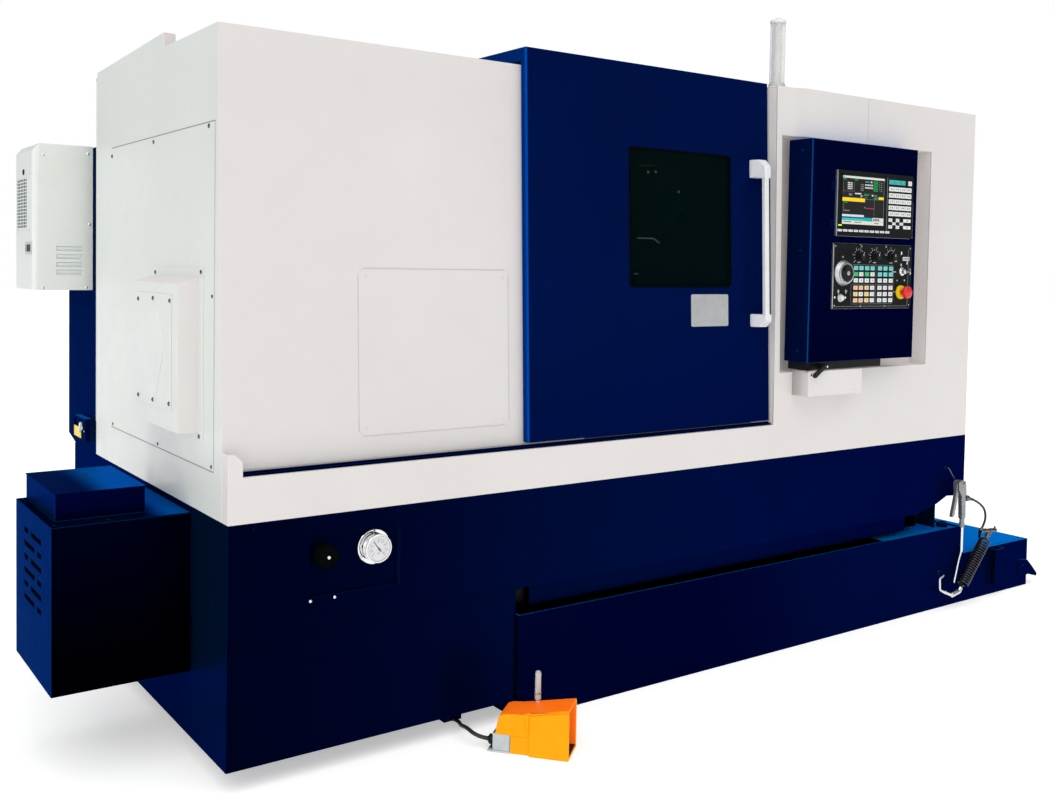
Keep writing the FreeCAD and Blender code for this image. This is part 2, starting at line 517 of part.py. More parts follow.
add("air_gun_lever", lever)

# hoses and cable
HOSE = [(2689.4, GY, 379.4), (2720.5, GY, 371.9), (2764.5, GY, 348.1), (2784.8, GY, 329.0), (2791.6, GY, 305.0),
        (2785.2, GY, 280.8), (2769.2, GY, 264.0)]
add("air_hose", tube(HOSE, 4.0, "air_hose"))
C1, C2 = V(2800, GY, 227), V(2654, GY, 72)
add("coil_hose", rod(C1, C2, 22.0))
FU = (0.647 / math.hypot(0.647, 0.763), -0.763 / math.hypot(0.647, 0.763))
CABLE = [(624.8, -92.9, 23.2), (615.4, -81.8, 23.2), (602.2, -59.8, 28.3), (600.2, -34.2, 33.9), (606.0, 6.0, 26.1),
         (620.2, 27.0, 15.8), (634.0, 62.1, 10.9), (634.5, 88.0, 6.6)]
add("foot_switch_cable", tube(CABLE, 5.0, "foot_switch_cable"))

cdir = C2.sub(C1)
cdir.normalize()
conn = fuse(rod(V(2761.5, GY, 256), V(2858, GY, 247), 8.0), rod(V(2761.5, GY, 256), V(2769.2, GY, 264), 6.5),
            rod(C1.sub(V(cdir).multiply(30)), C1, 9.0), box(2804, 2816, GY, -1, 245, 249),
            box(2804, 2816, -3, 0, 110, 249), rod(V(2851, GY, 248), V(2851, GY, 262), 4.0))
low_end = C2.add(V(cdir).multiply(20))
coup = fuse(rod(C2, low_end, 9.0), rod(low_end, V(2600, GY, 50), 9.0), Part.makeSphere(9.0, low_end),
            rod(V(2600, GY, 50), V(2545, GY, 72), 6.0), rod(V(2545, GY, 72), V(2530, GY, 80), 4.0),
            rod(V(2530, GY, 80), V(2527, GY, 118), 4.0), Part.makeSphere(4.0, V(2530, GY, 80)),
            Part.makeSphere(4.0, V(2527, GY, 118)), rod(V(2527, GY, 118), V(2560, GY + 6, 124), 4.0),
            Part.makeSphere(4.0, V(2560, GY + 6, 124)), rod(V(2560, GY + 6, 124), V(2571, -2.7, 124), 3.9),
            cyl("y", -3, 0, 2572, 124, 10))
hook = fuse(cyl("y", -14, 0, 2592, 494, 2.0), Part.makeSphere(2.0, V(2592, -14, 494)),
            rod(V(2592, -14, 494), V(2632, -17, 440.8), 2.0), Part.makeSphere(2.0, V(2632, -17, 440.8)),
            cyl("y", -53, -17, 2632, 440.8, 2.0), Part.makeSphere(2.0, V(2632, -53, 440.8)),
            rod(V(2632, -53, 440.8), V(2629, -55, 452), 2.0))
add("air_line_fittings", Part.makeCompound([conn, coup, hook]))

# ------------------------------------------------------ foot switch --------
FA = math.degrees(math.atan2(-0.763, 0.647))
def place(s):
    s = s.copy()
    s.rotate(V(0, 0, 0), V(0, 0, 1), FA)
    s.translate(V(618, -117, 0))
    return s

hood = fuse(prism("y", [(44, 0), (190, 0), (190, 70), (44, 70)], 3, 82),
            prism("y", [(7, 45), (12, 72), (17, 91), (29, 96), (60, 99), (190, 122), (190, 45)], 0, 85),
            prism("y", [(92, 0), (190, 0), (190, 117), (92, 99)], -3.5, 88.5),
            prism("y", [(80, 100), (84, 64), (93, 62), (93, 104)], -4, 0))
hood = hood.cut(prism("y", [(50, 8), (191, 8), (191, 115), (167, 111), (62, 93), (50, 84)], 4.5, 80.5))
cbx = fuse(box(0, 46, 4, 81, 4, 46), box(-12, 46, -1, 86, 0, 5))
gl = fuse(cyl("x", -14, 0, 20.7, 23.2, 8), cyl("x", -12, -3, 20.7, 23.2, 11.5))
pst = fuse(cyl("z", 100, 112, 94, 77, 5), cyl("z", 111, 126, 94, 77, 7.6), cyl("z", 125, 129, 94, 77, 6.6),
           cyl("z", 128, 179, 94, 77, 7.3), cyl("z", 178, 182, 94, 77, 5.2))
fs = fuse(hood, cbx, gl, pst)
pv = box(52, 62, 6, 79, 34, 44)
add("foot_switch_body", place(fs))
pedal = fuse(box(56, 170, 10, 75, 36, 44), cyl("y", 4.8, 80.2, 62, 40, 4))
add("foot_pedal", place(pedal))

# ------------------------------------------------ common origin ------------
FREE = ("air_hose", "coil_hose", "foot_switch_cable")
bb = FreeCAD.BoundBox()
for n, s in NODES.items():
    if n not in FREE:
        bb.add(s.BoundBox)
ox = round((bb.XMin + bb.XMax) / 2.0, 3)
oy = round((bb.YMin + bb.YMax) / 2.0, 3)
print("box X %.2f..%.2f Y %.2f..%.2f Z %.2f..%.2f" % (bb.XMin, bb.XMax, bb.YMin, bb.YMax, bb.ZMin, bb.ZMax))
print("shift %.3f %.3f, nodes %d" % (ox, oy, len(NODES)))
for n, s in NODES.items():
    s = s.copy()
    s.translate(V(-ox, -oy, 0))
    if not s.isValid():
        print("INVALID", n)
    s.exportStep("parts/%s.step" % n)
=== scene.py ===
import json, math, random
import bpy, bmesh
from mathutils import Vector, Matrix
from mathutils.bvhtree import BVHTree


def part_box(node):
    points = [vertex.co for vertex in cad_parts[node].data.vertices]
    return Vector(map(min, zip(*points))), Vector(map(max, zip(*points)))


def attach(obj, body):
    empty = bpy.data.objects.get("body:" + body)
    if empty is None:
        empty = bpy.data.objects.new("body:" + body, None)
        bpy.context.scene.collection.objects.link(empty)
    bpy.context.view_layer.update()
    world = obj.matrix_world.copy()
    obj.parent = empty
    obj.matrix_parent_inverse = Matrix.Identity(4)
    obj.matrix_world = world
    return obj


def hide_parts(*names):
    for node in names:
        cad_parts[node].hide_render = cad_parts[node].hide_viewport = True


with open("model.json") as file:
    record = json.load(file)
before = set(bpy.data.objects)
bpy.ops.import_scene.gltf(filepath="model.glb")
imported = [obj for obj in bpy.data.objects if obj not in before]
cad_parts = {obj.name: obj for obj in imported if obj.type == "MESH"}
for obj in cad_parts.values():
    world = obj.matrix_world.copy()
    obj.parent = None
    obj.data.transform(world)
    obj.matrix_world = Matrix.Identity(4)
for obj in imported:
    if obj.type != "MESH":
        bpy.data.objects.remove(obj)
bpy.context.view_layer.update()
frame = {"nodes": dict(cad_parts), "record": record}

random.seed(7)

# ---------------------------------------------------------------------------
# Working frame: millimetres, X = 0 at the left side, Y = 0 at the front of the
# white band, Z from the floor.  W() turns it into the row frame in metres.
# ---------------------------------------------------------------------------
OX = -1000.0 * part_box("base_skirt")[0][0]
OY = -1000.0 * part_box("base_skirt")[0][1]


def W(x, y, z):
    return Vector(((x - OX) / 1000.0, (y - OY) / 1000.0, z / 1000.0))


# ------------------------------------------------------------------ camera --
F_PX, CX_PX, CY_PX, W_PX, H_PX = 1123.0, 527.5, 310.0, 1055.0, 800.0
yaw, pitch, roll = (math.radians(a) for a in (35.41, 2.27, 0.96))
base = Matrix(((1, 0, 0), (0, 0, -1), (0, 1, 0)))
Ry = Matrix(((math.cos(yaw), -math.sin(yaw), 0), (math.sin(yaw), math.cos(yaw), 0), (0, 0, 1)))
Rp = Matrix(((1, 0, 0), (0, math.cos(pitch), -math.sin(pitch)), (0, math.sin(pitch), math.cos(pitch))))
Rr = Matrix(((math.cos(roll), -math.sin(roll), 0), (math.sin(roll), math.cos(roll), 0), (0, 0, 1)))
Rc = Rr @ Rp @ base @ Ry
anchor = Vector(((226.2 - CX_PX) / F_PX, (777.1 - CY_PX) / F_PX, 1.0)) * 2450.0
eye = -(Rc.transposed() @ anchor)
cam_data = bpy.data.cameras.new("camera")
cam_data.sensor_width = 36.0
cam_data.lens = 36.0 * F_PX / W_PX
cam_data.shift_x = 0.0
cam_data.shift_y = -(H_PX / 2.0 - CY_PX) / W_PX
cam_data.clip_end = 200.0
cam = bpy.data.objects.new("camera", cam_data)
bpy.context.scene.collection.objects.link(cam)
rot = Rc.transposed() @ Matrix(((1, 0, 0), (0, -1, 0), (0, 0, -1)))
cam.matrix_world = Matrix.Translation(W(eye.x, eye.y, eye.z + 50.0)) @ rot.to_4x4()
bpy.context.scene.camera = cam

# ------------------------------------------------------------- materials ----


def new_mat(name):
    m = bpy.data.materials.new(name)
    m.use_nodes = True
    nt = m.node_tree
    b = nt.nodes["Principled BSDF"]
    return m, nt, b


def paint(name, ca, cb, rough=(0.35, 0.45), scale=4.0, grain=(900.0, 0.00006), metallic=0.0, spec=0.5,
          coat=0.0, tint=None, patch=0.5, stretch=None, gradient=None, second=None, sheen=0.0, alpha=None,
          ior=None, transmission=None, emission=None):
    """Principled material with two-tone colour variation, uneven roughness and a fine bump."""
    m, nt, b = new_mat(name)
    N, L = nt.nodes, nt.links
    tc = N.new("ShaderNodeTexCoord")
    src = tc.outputs["Object"]
    if stretch is not None:
        mp = N.new("ShaderNodeMapping")
        mp.inputs["Scale"].default_value = stretch
        L.new(src, mp.inputs["Vector"])
        vec = mp.outputs["Vector"]
    else:
        vec = src
    n1 = N.new("ShaderNodeTexNoise")
    n1.inputs["Scale"].default_value = scale
    n1.inputs["Detail"].default_value = 4.0
    n1.inputs["Roughness"].default_value = 0.6
    L.new(src, n1.inputs["Vector"])
    r1 = N.new("ShaderNodeValToRGB")
    r1.color_ramp.elements[0].position = 0.5 - patch / 2.0
    r1.color_ramp.elements[1].position = 0.5 + patch / 2.0
    r1.color_ramp.elements[0].color = (*ca, 1.0)
    r1.color_ramp.elements[1].color = (*cb, 1.0)
    L.new(n1.outputs["Fac"], r1.inputs["Fac"])
    col = r1.outputs["Color"]
    # painted shade: below v0 on the given object axis the colour turns to the darker given colour, blending back to the
    # paint by v1
    if gradient is not None:
        axis, v0, v1, painted_shade_col = gradient
        sx = N.new("ShaderNodeSeparateXYZ")
        L.new(src, sx.inputs["Vector"])
        mr = N.new("ShaderNodeMapRange")
        mr.interpolation_type = "SMOOTHSTEP"
        mr.inputs["From Min"].default_value = v0
        mr.inputs["From Max"].default_value = v1
        L.new(sx.outputs[axis], mr.inputs["Value"])
        mx = N.new("ShaderNodeMix")
        mx.data_type = "RGBA"
        mx.inputs["A"].default_value = (*painted_shade_col, 1.0)
        L.new(mr.outputs["Result"], mx.inputs["Factor"])
        L.new(col, mx.inputs["B"])
        col = mx.outputs["Result"]
    L.new(col, b.inputs["Base Color"])
    n2 = N.new("ShaderNodeTexNoise")
    n2.inputs["Scale"].default_value = scale * 6.0
    n2.inputs["Detail"].default_value = 3.0
    L.new(vec, n2.inputs["Vector"])
    mr2 = N.new("ShaderNodeMapRange")
    mr2.inputs["From Min"].default_value = 0.3
    mr2.inputs["From Max"].default_value = 0.7
    mr2.inputs["To Min"].default_value = rough[0]
    mr2.inputs["To Max"].default_value = rough[1]
    L.new(n2.outputs["Fac"], mr2.inputs["Value"])
    L.new(mr2.outputs["Result"], b.inputs["Roughness"])
    n3 = N.new("ShaderNodeTexNoise")
    n3.inputs["Scale"].default_value = grain[0]
    n3.inputs["Detail"].default_value = 2.0
    L.new(vec, n3.inputs["Vector"])
    bp = N.new("ShaderNodeBump")
    bp.inputs["Strength"].default_value = 0.6
    bp.inputs["Distance"].default_value = grain[1]
    L.new(n3.outputs["Fac"], bp.inputs["Height"])
    L.new(bp.outputs["Normal"], b.inputs["Normal"])
    b.inputs["Metallic"].default_value = metallic
    b.inputs["Specular IOR Level"].default_value = spec
    b.inputs["Coat Weight"].default_value = coat
    b.inputs["Coat Roughness"].default_value = 0.08
    if tint is not None:
        b.inputs["Specular Tint"].default_value = (*tint, 1.0)
    if sheen:
        b.inputs["Sheen Weight"].default_value = sheen
    if alpha is not None:
        b.inputs["Alpha"].default_value = alpha
    if ior is not None:
        b.inputs["IOR"].default_value = ior
    if transmission is not None:
        b.inputs["Transmission Weight"].default_value = transmission
    if emission is not None:
        b.inputs["Emission Color"].default_value = (*emission[0], 1.0)
        b.inputs["Emission Strength"].default_value = emission[1]
    return m


M = {}
TB = (0.004, 0.20, 0.60)


def obj_x(x):
    return (x - OX) / 1000.0


def blue(name, front, painted_top_light=(0.0006, 0.20, 0.70), left=(0.0003, 0.009, 0.034), painted_edge_highlight=(0.001, 0.030, 0.16), painted_top_light_from=None, **kw):
    """Navy powder coat, one paint, with painted light in its colour: a painted reflection on faces that look up,
    painted side light on faces that look to the left, and a painted highlight on the folds.
    """
    a = tuple(v * 0.90 for v in front)
    b_ = tuple(v * 1.10 for v in front)
    m = paint(name, a, b_, (0.26, 0.34), 2.5, (700.0, 0.00010), metallic=0.5, spec=0.0, tint=TB, **kw)
    nt = m.node_tree
    N, L = nt.nodes, nt.links
    b = N["Principled BSDF"]
    src = b.inputs["Base Color"].links[0].from_socket
    geo = N.new("ShaderNodeNewGeometry")
    sx = N.new("ShaderNodeSeparateXYZ")
    L.new(geo.outputs["Normal"], sx.inputs["Vector"])

    def ramp(sock, lo, hi):
        mr = N.new("ShaderNodeMapRange")
        mr.interpolation_type = "SMOOTHSTEP"
        mr.inputs["From Min"].default_value = lo
        mr.inputs["From Max"].default_value = hi
        L.new(sock, mr.inputs["Value"])
        return mr.outputs["Result"]

    def blend(fac, a_, c, sock=None):
        mx = N.new("ShaderNodeMix")
        mx.data_type = "RGBA"
        L.new(fac, mx.inputs["Factor"])
        if isinstance(a_, tuple):
            mx.inputs["A"].default_value = (*a_, 1.0)
        else:
            L.new(a_, mx.inputs["A"])
        if sock is None:
            mx.inputs["B"].default_value = (*c, 1.0)
        else:
            L.new(sock, mx.inputs["B"])
        return mx.outputs["Result"]

    # painted side light: faces that look to the left (-X) blend to the lighter left colour
    src = blend(ramp(sx.outputs["X"], -0.35, -0.9), src, left)
    painted_top_light_col = None
    # painted top light that fades in along X, from the given colour to the full top colour
    if painted_top_light_from is not None:
        x0, x1, c0 = painted_top_light_from
        tc = N.new("ShaderNodeTexCoord")
        so = N.new("ShaderNodeSeparateXYZ")
        L.new(tc.outputs["Object"], so.inputs["Vector"])
        painted_top_light_col = blend(ramp(so.outputs["X"], obj_x(x0), obj_x(x1)), c0, painted_top_light)
    # painted top light: faces that look up blend to the bright top colour, a painted reflection
    src = blend(ramp(sx.outputs["Z"], 0.4, 0.95), src, painted_top_light, painted_top_light_col)
    # painted edge highlight: bevel faces, whose normals lie between the axes, blend to the edge colour
    ab = N.new("ShaderNodeVectorMath")
    ab.operation = "ABSOLUTE"
    L.new(geo.outputs["Normal"], ab.inputs[0])
    sa = N.new("ShaderNodeSeparateXYZ")
    L.new(ab.outputs["Vector"], sa.inputs["Vector"])
    m1 = N.new("ShaderNodeMath")
    m1.operation = "MAXIMUM"
    L.new(sa.outputs["X"], m1.inputs[0])
    L.new(sa.outputs["Y"], m1.inputs[1])
    m2 = N.new("ShaderNodeMath")
    m2.operation = "MAXIMUM"
    L.new(m1.outputs["Value"], m2.inputs[0])
    L.new(sa.outputs["Z"], m2.inputs[1])
    src = blend(ramp(m2.outputs["Value"], 0.975, 0.86), src, painted_edge_highlight)
    L.new(src, b.inputs["Base Color"])
    return m


# navy paint with the default painted top light, side light and edge highlight
M["blue"] = blue("navy_powder_coat", (0.0003, 0.0050, 0.050))
# door: painted shade darkens it towards the bottom; its bright left and edge colours are painted side light and a
# painted highlight on the rounded upright edges
M["blue_door"] = blue("navy_powder_coat_door", (0.0006, 0.0080, 0.072), left=(0.0005, 0.034, 0.22), painted_edge_highlight=(0.0008, 0.050, 0.30),
                      gradient=("Z", 0.65, 1.25, (0.0003, 0.0048, 0.052)))
# console: painted shade darkens it towards the bottom; the bright edge colour is a painted highlight on its rounded
# front edges
M["blue_console"] = blue("navy_powder_coat_console", (0.0003, 0.0028, 0.029), left=(0.0003, 0.006, 0.050),
                         painted_edge_highlight=(0.0008, 0.040, 0.20), gradient=("Z", 0.85, 1.30, (0.0002, 0.0012, 0.016)))
# base: painted shade darkens it towards the left end
M["blue_base"] = blue("navy_powder_coat_base", (0.0002, 0.0042, 0.040), left=(0.0003, 0.009, 0.036),
                      painted_top_light=(0.0003, 0.010, 0.070), painted_edge_highlight=(0.0003, 0.006, 0.050),
                      gradient=("X", obj_x(-100), obj_x(1500), (0.0001, 0.0008, 0.011)))
# cabinet: painted side light on its left face
M["blue_cab"] = blue("navy_powder_coat_cabinet", (0.0003, 0.0050, 0.050), left=(0.0003, 0.0110, 0.031))
# tray: a very bright painted reflection on its top faces; painted shade darkens it towards the left
M["blue_tray"] = blue("navy_powder_coat_tray", (0.0002, 0.0050, 0.038), painted_top_light=(0.0008, 0.30, 1.0), left=(0.0002, 0.004, 0.026),
                      painted_edge_highlight=(0.0003, 0.006, 0.050), gradient=("X", obj_x(1300), obj_x(2300), (0.0001, 0.0014, 0.021)))
# tank: painted shade darkens it towards the bottom; painted top light fades in only on the right part of its top
M["blue_tank"] = blue("navy_powder_coat_tank", (0.0001, 0.0006, 0.008), left=(0.001, 0.022, 0.080),
                      painted_top_light=(0.0006, 0.12, 0.46), painted_top_light_from=(-95.0, -35.0, (0.0004, 0.0035, 0.022)), painted_edge_highlight=(0.0008, 0.030, 0.13),
                      gradient=("Z", 0.25, 0.62, (0.0001, 0.0001, 0.0010)))
# tank lid: painted top light fades in on the right part of its top, painted side light on its left face
M["blue_tank_top"] = blue("navy_powder_coat_tank_lid", (0.0002, 0.0011, 0.025), left=(0.001, 0.016, 0.060),
                          painted_top_light=(0.0006, 0.12, 0.46), painted_top_light_from=(-225.0, -150.0, (0.0006, 0.011, 0.068)),
                          painted_edge_highlight=(0.0008, 0.030, 0.13))
# faint emission on the white: painted light that lifts its shaded faces
M["white"] = paint("warm_white_powder_coat", (0.585, 0.555, 0.540), (0.618, 0.590, 0.576), (0.36, 0.46), 3.0,
                   (520.0, 0.00016), spec=0.4, emission=((0.95, 0.90, 0.87), 0.10))
# slightly darker, cooler copy of the white for faces that look left, with a stronger emission: painted side shade and
# painted fill light
M["white_side"] = paint("white_powder_coat_painted_side_shade", (0.520, 0.542, 0.522), (0.550, 0.572, 0.550), (0.32, 0.44), 3.5,
                        (520.0, 0.00016), spec=0.4, emission=((0.92, 0.95, 0.92), 0.14))
# guard enamel, darker towards the bottom: painted shade inside the enclosure
M["guard"] = paint("guard_enamel", (0.006, 0.020, 0.019), (0.010, 0.028, 0.027), (0.35, 0.5), 6.0, (300.0, 0.0001), spec=0.1,
                   gradient=("Z", 0.36, 0.60, (0.0002, 0.0004, 0.0010)))
# darker copy of the casting enamel, used on the bed: painted shade where the bed shows in the gap over the chip tray
M["casting_dark"] = paint("casting_enamel_painted_shade", (0.010, 0.012, 0.016), (0.016, 0.018, 0.023), (0.55, 0.7), 7.0, (240.0, 0.0004),
                          spec=0.1)
M["casting"] = paint("casting_enamel", (0.20, 0.22, 0.225), (0.27, 0.29, 0.295), (0.45, 0.6), 7.0, (240.0, 0.0004))
M["steel"] = paint("ground_steel", (0.50, 0.50, 0.51), (0.63, 0.63, 0.63), (0.22, 0.36), 9.0, (260.0, 0.00006),
                   metallic=1.0, stretch=(1.0, 14.0, 14.0))
M["zinc"] = paint("zinc_plate", (0.44, 0.49, 0.51), (0.54, 0.58, 0.60), (0.3, 0.45), 30.0, (420.0, 0.0001), metallic=0.9)
M["motor"] = paint("motor_enamel", (0.05, 0.055, 0.06), (0.075, 0.08, 0.085), (0.4, 0.55), 8.0, (260.0, 0.0003))
M["belt"] = paint("belt_rubber", (0.02, 0.02, 0.02), (0.035, 0.035, 0.035), (0.6, 0.75), 20.0, (600.0, 0.0002))
M["handle"] = paint("handle_powder_coat", (0.70, 0.71, 0.73), (0.76, 0.77, 0.785), (0.25, 0.34), 12.0, (800.0, 0.00006))
M["cooler"] = paint("cooler_powder_coat", (0.665, 0.700, 0.690), (0.705, 0.735, 0.725), (0.34, 0.45), 6.0, (620.0, 0.00014))
M["cooler_edge"] = paint("cooler_front_mould", (0.69, 0.71, 0.67), (0.74, 0.76, 0.72), (0.38, 0.48), 6.0, (500.0, 0.0001))
M["black"] = paint("black_plastic", (0.005, 0.005, 0.006), (0.010, 0.010, 0.011), (0.38, 0.52), 25.0, (1400.0, 0.00008),
                   spec=0.18)
M["panel"] = paint("panel_membrane", (0.004, 0.005, 0.006), (0.007, 0.009, 0.010), (0.4, 0.55), 14.0, (1800.0, 0.00004),
                   spec=0.08)
M["satin"] = paint("satin_black", (0.004, 0.004, 0.005), (0.008, 0.008, 0.009), (0.32, 0.45), 20.0, (700.0, 0.0001), spec=0.12)
M["gunmetal"] = paint("blackened_steel", (0.10, 0.10, 0.105), (0.17, 0.17, 0.175), (0.18, 0.30), 40.0, (500.0, 0.00004),
                      metallic=1.0)
# glowing light grey for the lines and screw heads behind the door glass: painted highlights on their edges
M["painted_highlight_line"] = paint("painted_highlight_fitting", (0.52, 0.56, 0.55), (0.62, 0.65, 0.64), (0.3, 0.4), 30.0, (600.0, 0.00002),
                         emission=((0.75, 0.85, 0.83), 0.25))
M["alu"] = paint("brushed_aluminium", (0.50, 0.51, 0.52), (0.60, 0.61, 0.62), (0.28, 0.4), 30.0, (500.0, 0.00005),
                 metallic=0.95, stretch=(1.0, 1.0, 12.0))
M["gun"] = paint("diecast_alloy", (0.24, 0.25, 0.25), (0.36, 0.37, 0.37), (0.35, 0.5), 60.0, (900.0, 0.0002),
                 metallic=0.85)
M["chrome"] = paint("polished_chrome", (0.70, 0.70, 0.71), (0.80, 0.80, 0.80), (0.06, 0.14), 40.0, (300.0, 0.00002),
                    metallic=1.0)
M["red"] = paint("red_gloss_plastic", (0.62, 0.012, 0.014), (0.72, 0.018, 0.018), (0.22, 0.32), 30.0, (800.0, 0.00004))
M["yellow"] = paint("yellow_gloss_plastic", (0.80, 0.56, 0.004), (0.88, 0.64, 0.006), (0.3, 0.4), 30.0, (800.0, 0.00004),
                    spec=0.15)
M["keywhite"] = paint("key_white", (0.68, 0.69, 0.68), (0.76, 0.77, 0.76), (0.4, 0.5), 60.0, (1500.0, 0.00004))
M["keycyan"] = paint("key_cyan", (0.13, 0.56, 0.53), (0.18, 0.64, 0.61), (0.4, 0.5), 60.0, (1500.0, 0.00004))
M["keyteal"] = paint("key_teal", (0.01, 0.36, 0.35), (0.02, 0.42, 0.41), (0.4, 0.5), 60.0, (1500.0, 0.00004))
M["keygreen"] = paint("key_green", (0.01, 0.42, 0.13), (0.015, 0.50, 0.17), (0.4, 0.5), 60.0, (1500.0, 0.00004))
M["keypeach"] = paint("key_peach", (0.76, 0.50, 0.30), (0.82, 0.56, 0.36), (0.4, 0.5), 60.0, (1500.0, 0.00004))
M["keysand"] = paint("key_sand", (0.76, 0.60, 0.24), (0.82, 0.66, 0.30), (0.4, 0.5), 60.0, (1500.0, 0.00004))
M["keymark"] = paint("key_legend_grey", (0.20, 0.21, 0.21), (0.28, 0.29, 0.29), (0.5, 0.6), 60.0, (1500.0, 0.00004))
M["print"] = paint("white_print", (0.60, 0.61, 0.61), (0.70, 0.71, 0.70), (0.5, 0.6), 60.0, (1500.0, 0.00003))
M["print_and_shade_grey"] = paint("grey_print_and_painted_shade", (0.16, 0.17, 0.17), (0.24, 0.25, 0.25), (0.5, 0.6), 60.0, (1500.0, 0.00003))
# the dial glows faintly: painted light that keeps it white behind the gauge glass
M["dial_painted_glow"] = paint("dial_white", (0.56, 0.56, 0.57), (0.66, 0.66, 0.67), (0.4, 0.5), 50.0, (1200.0, 0.00003),
                  emission=((0.9, 0.9, 0.92), 0.10))
M["orange"] = paint("orange_powder_coat", (0.93, 0.330, 0.004), (0.99, 0.37, 0.006), (0.36, 0.48), 22.0,
                    (650.0, 0.0002), spec=0.04)
# lighter, redder, glowing copy of the orange for top faces: painted top light
M["orange_painted_top_light"] = paint("orange_powder_coat_painted_top_light", (0.97, 0.165, 0.006), (1.0, 0.20, 0.008), (0.34, 0.46), 22.0,
                        (650.0, 0.0002), spec=0.1, emission=((1.0, 0.12, 0.008), 0.22))
M["hose"] = paint("black_polyurethane", (0.003, 0.003, 0.004), (0.006, 0.006, 0.007), (0.10, 0.18), 60.0, (400.0, 0.00002),
                  spec=0.5)
M["cable"] = paint("cable_jacket", (0.008, 0.008, 0.008), (0.014, 0.014, 0.014), (0.35, 0.5), 60.0, (900.0, 0.0001))
# black rubber, also used for dark strips and plates that stand for shade
M["rubber_and_shade_black"] = paint("rubber_gasket_and_painted_shade", (0.001, 0.002, 0.002), (0.003, 0.004, 0.004), (0.6, 0.75), 30.0, (900.0, 0.0001),
                    spec=0.0)
M["glass"] = paint("smoked_safety_glass", (0.0003, 0.0045, 0.0050), (0.0006, 0.0060, 0.0065), (0.02, 0.06), 5.0,
                   (40.0, 0.00002), spec=0.02, alpha=0.55)
M["lens"] = paint("clear_acrylic", (0.80, 0.80, 0.77), (0.87, 0.87, 0.84), (0.03, 0.10), 20.0, (120.0, 0.00005),
                  spec=0.5, alpha=0.42)
M["lens_core"] = paint("frosted_acrylic", (0.56, 0.56, 0.53), (0.70, 0.70, 0.66), (0.3, 0.45), 30.0, (300.0, 0.0001))
M["grey_paint_and_shade"] = paint("grey_powder_coat_and_painted_shade", (0.46, 0.47, 0.45), (0.54, 0.55, 0.53), (0.4, 0.5), 14.0, (500.0, 0.00015))
M["plate"] = paint("blank_alloy_plate", (0.40, 0.41, 0.42), (0.47, 0.48, 0.49), (0.35, 0.45), 40.0, (300.0, 0.00003),
                   metallic=0.35, stretch=(1.0, 1.0, 10.0))
M["clear"] = paint("gauge_glass", (0.85, 0.87, 0.87), (0.90, 0.92, 0.92), (0.02, 0.05), 10.0, (40.0, 0.00001), spec=0.5,
                   alpha=0.07)
M["screen"] = paint("display_glass", (0.012, 0.013, 0.013), (0.017, 0.018, 0.018), (0.12, 0.2), 20.0, (200.0, 0.00001),
                    spec=0.25)


def ui(name, c, e):
    return paint("ui_" + name, tuple(0.6 * v for v in c), tuple(0.66 * v for v in c), (0.3, 0.4), 90.0,
                 (300.0, 0.00001), spec=0.2, emission=(c, e))


M["uw"] = ui("white", (0.75, 0.75, 0.70), 0.30)
M["ug"] = ui("green", (0.0, 0.30, 0.07), 0.35)
M["uy"] = ui("yellow", (0.95, 0.66, 0.02), 0.35)
M["ub"] = ui("blue", (0.01, 0.06, 0.62), 0.35)
M["uc"] = ui("cyan", (0.0, 0.42, 0.45), 0.35)
M["ul"] = ui("lightgreen", (0.02, 0.60, 0.30), 0.35)
M["ur"] = ui("red", (0.55, 0.02, 0.08), 0.35)
M["ud"] = ui("dim", (0.20, 0.21, 0.21), 0.25)
M["uled"] = ui("led", (0.50, 0.85, 0.05), 0.8)

SLOT = {s["node"]: s["material_slot"] for s in frame["record"]["subparts"]}
BODY = {n: b for b, ns in frame["record"]["behaviour"]["bodies"].items() for n in ns}

# --------------------------------------------------------------- helpers ----


def finish_object(ob, body, angle=32.0):
    me = ob.data
    me.shade_smooth()
    me.set_sharp_from_angle(angle=math.radians(angle))
    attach(ob, body)
    return ob


def mark_edges(bm, limit):
    """Bevel weights: sharp edges, except where two sheets of the node meet along a hairline."""
    bm.verts.index_update()
    bm.faces.index_update()
    isle = {}
    count = 0
    for f in bm.faces:
        if f.index in isle:
            continue
        todo = [f]
        isle[f.index] = count
        while todo:
            g = todo.pop()
            for v in g.verts:
                for h in v.link_faces:
                    if h.index not in isle:
                        isle[h.index] = count
                        todo.append(h)
        count += 1
    lay = bm.edges.layers.float.get("bevel_weight_edge") or bm.edges.layers.float.new("bevel_weight_edge")
    tree = BVHTree.FromBMesh(bm) if count > 1 else None
    for e in bm.edges:
        if len(e.link_faces) != 2 or e.calc_face_angle(0.0) < limit:
            continue
        w = 1.0
        if tree is not None:
            me_ = isle[e.link_faces[0].index]
            mid = (e.verts[0].co + e.verts[1].co) / 2
            for hit in tree.find_nearest_range(mid, 0.0009):
                if isle[hit[2]] != me_:
                    w = 0.0
                    break
        e[lay] = w


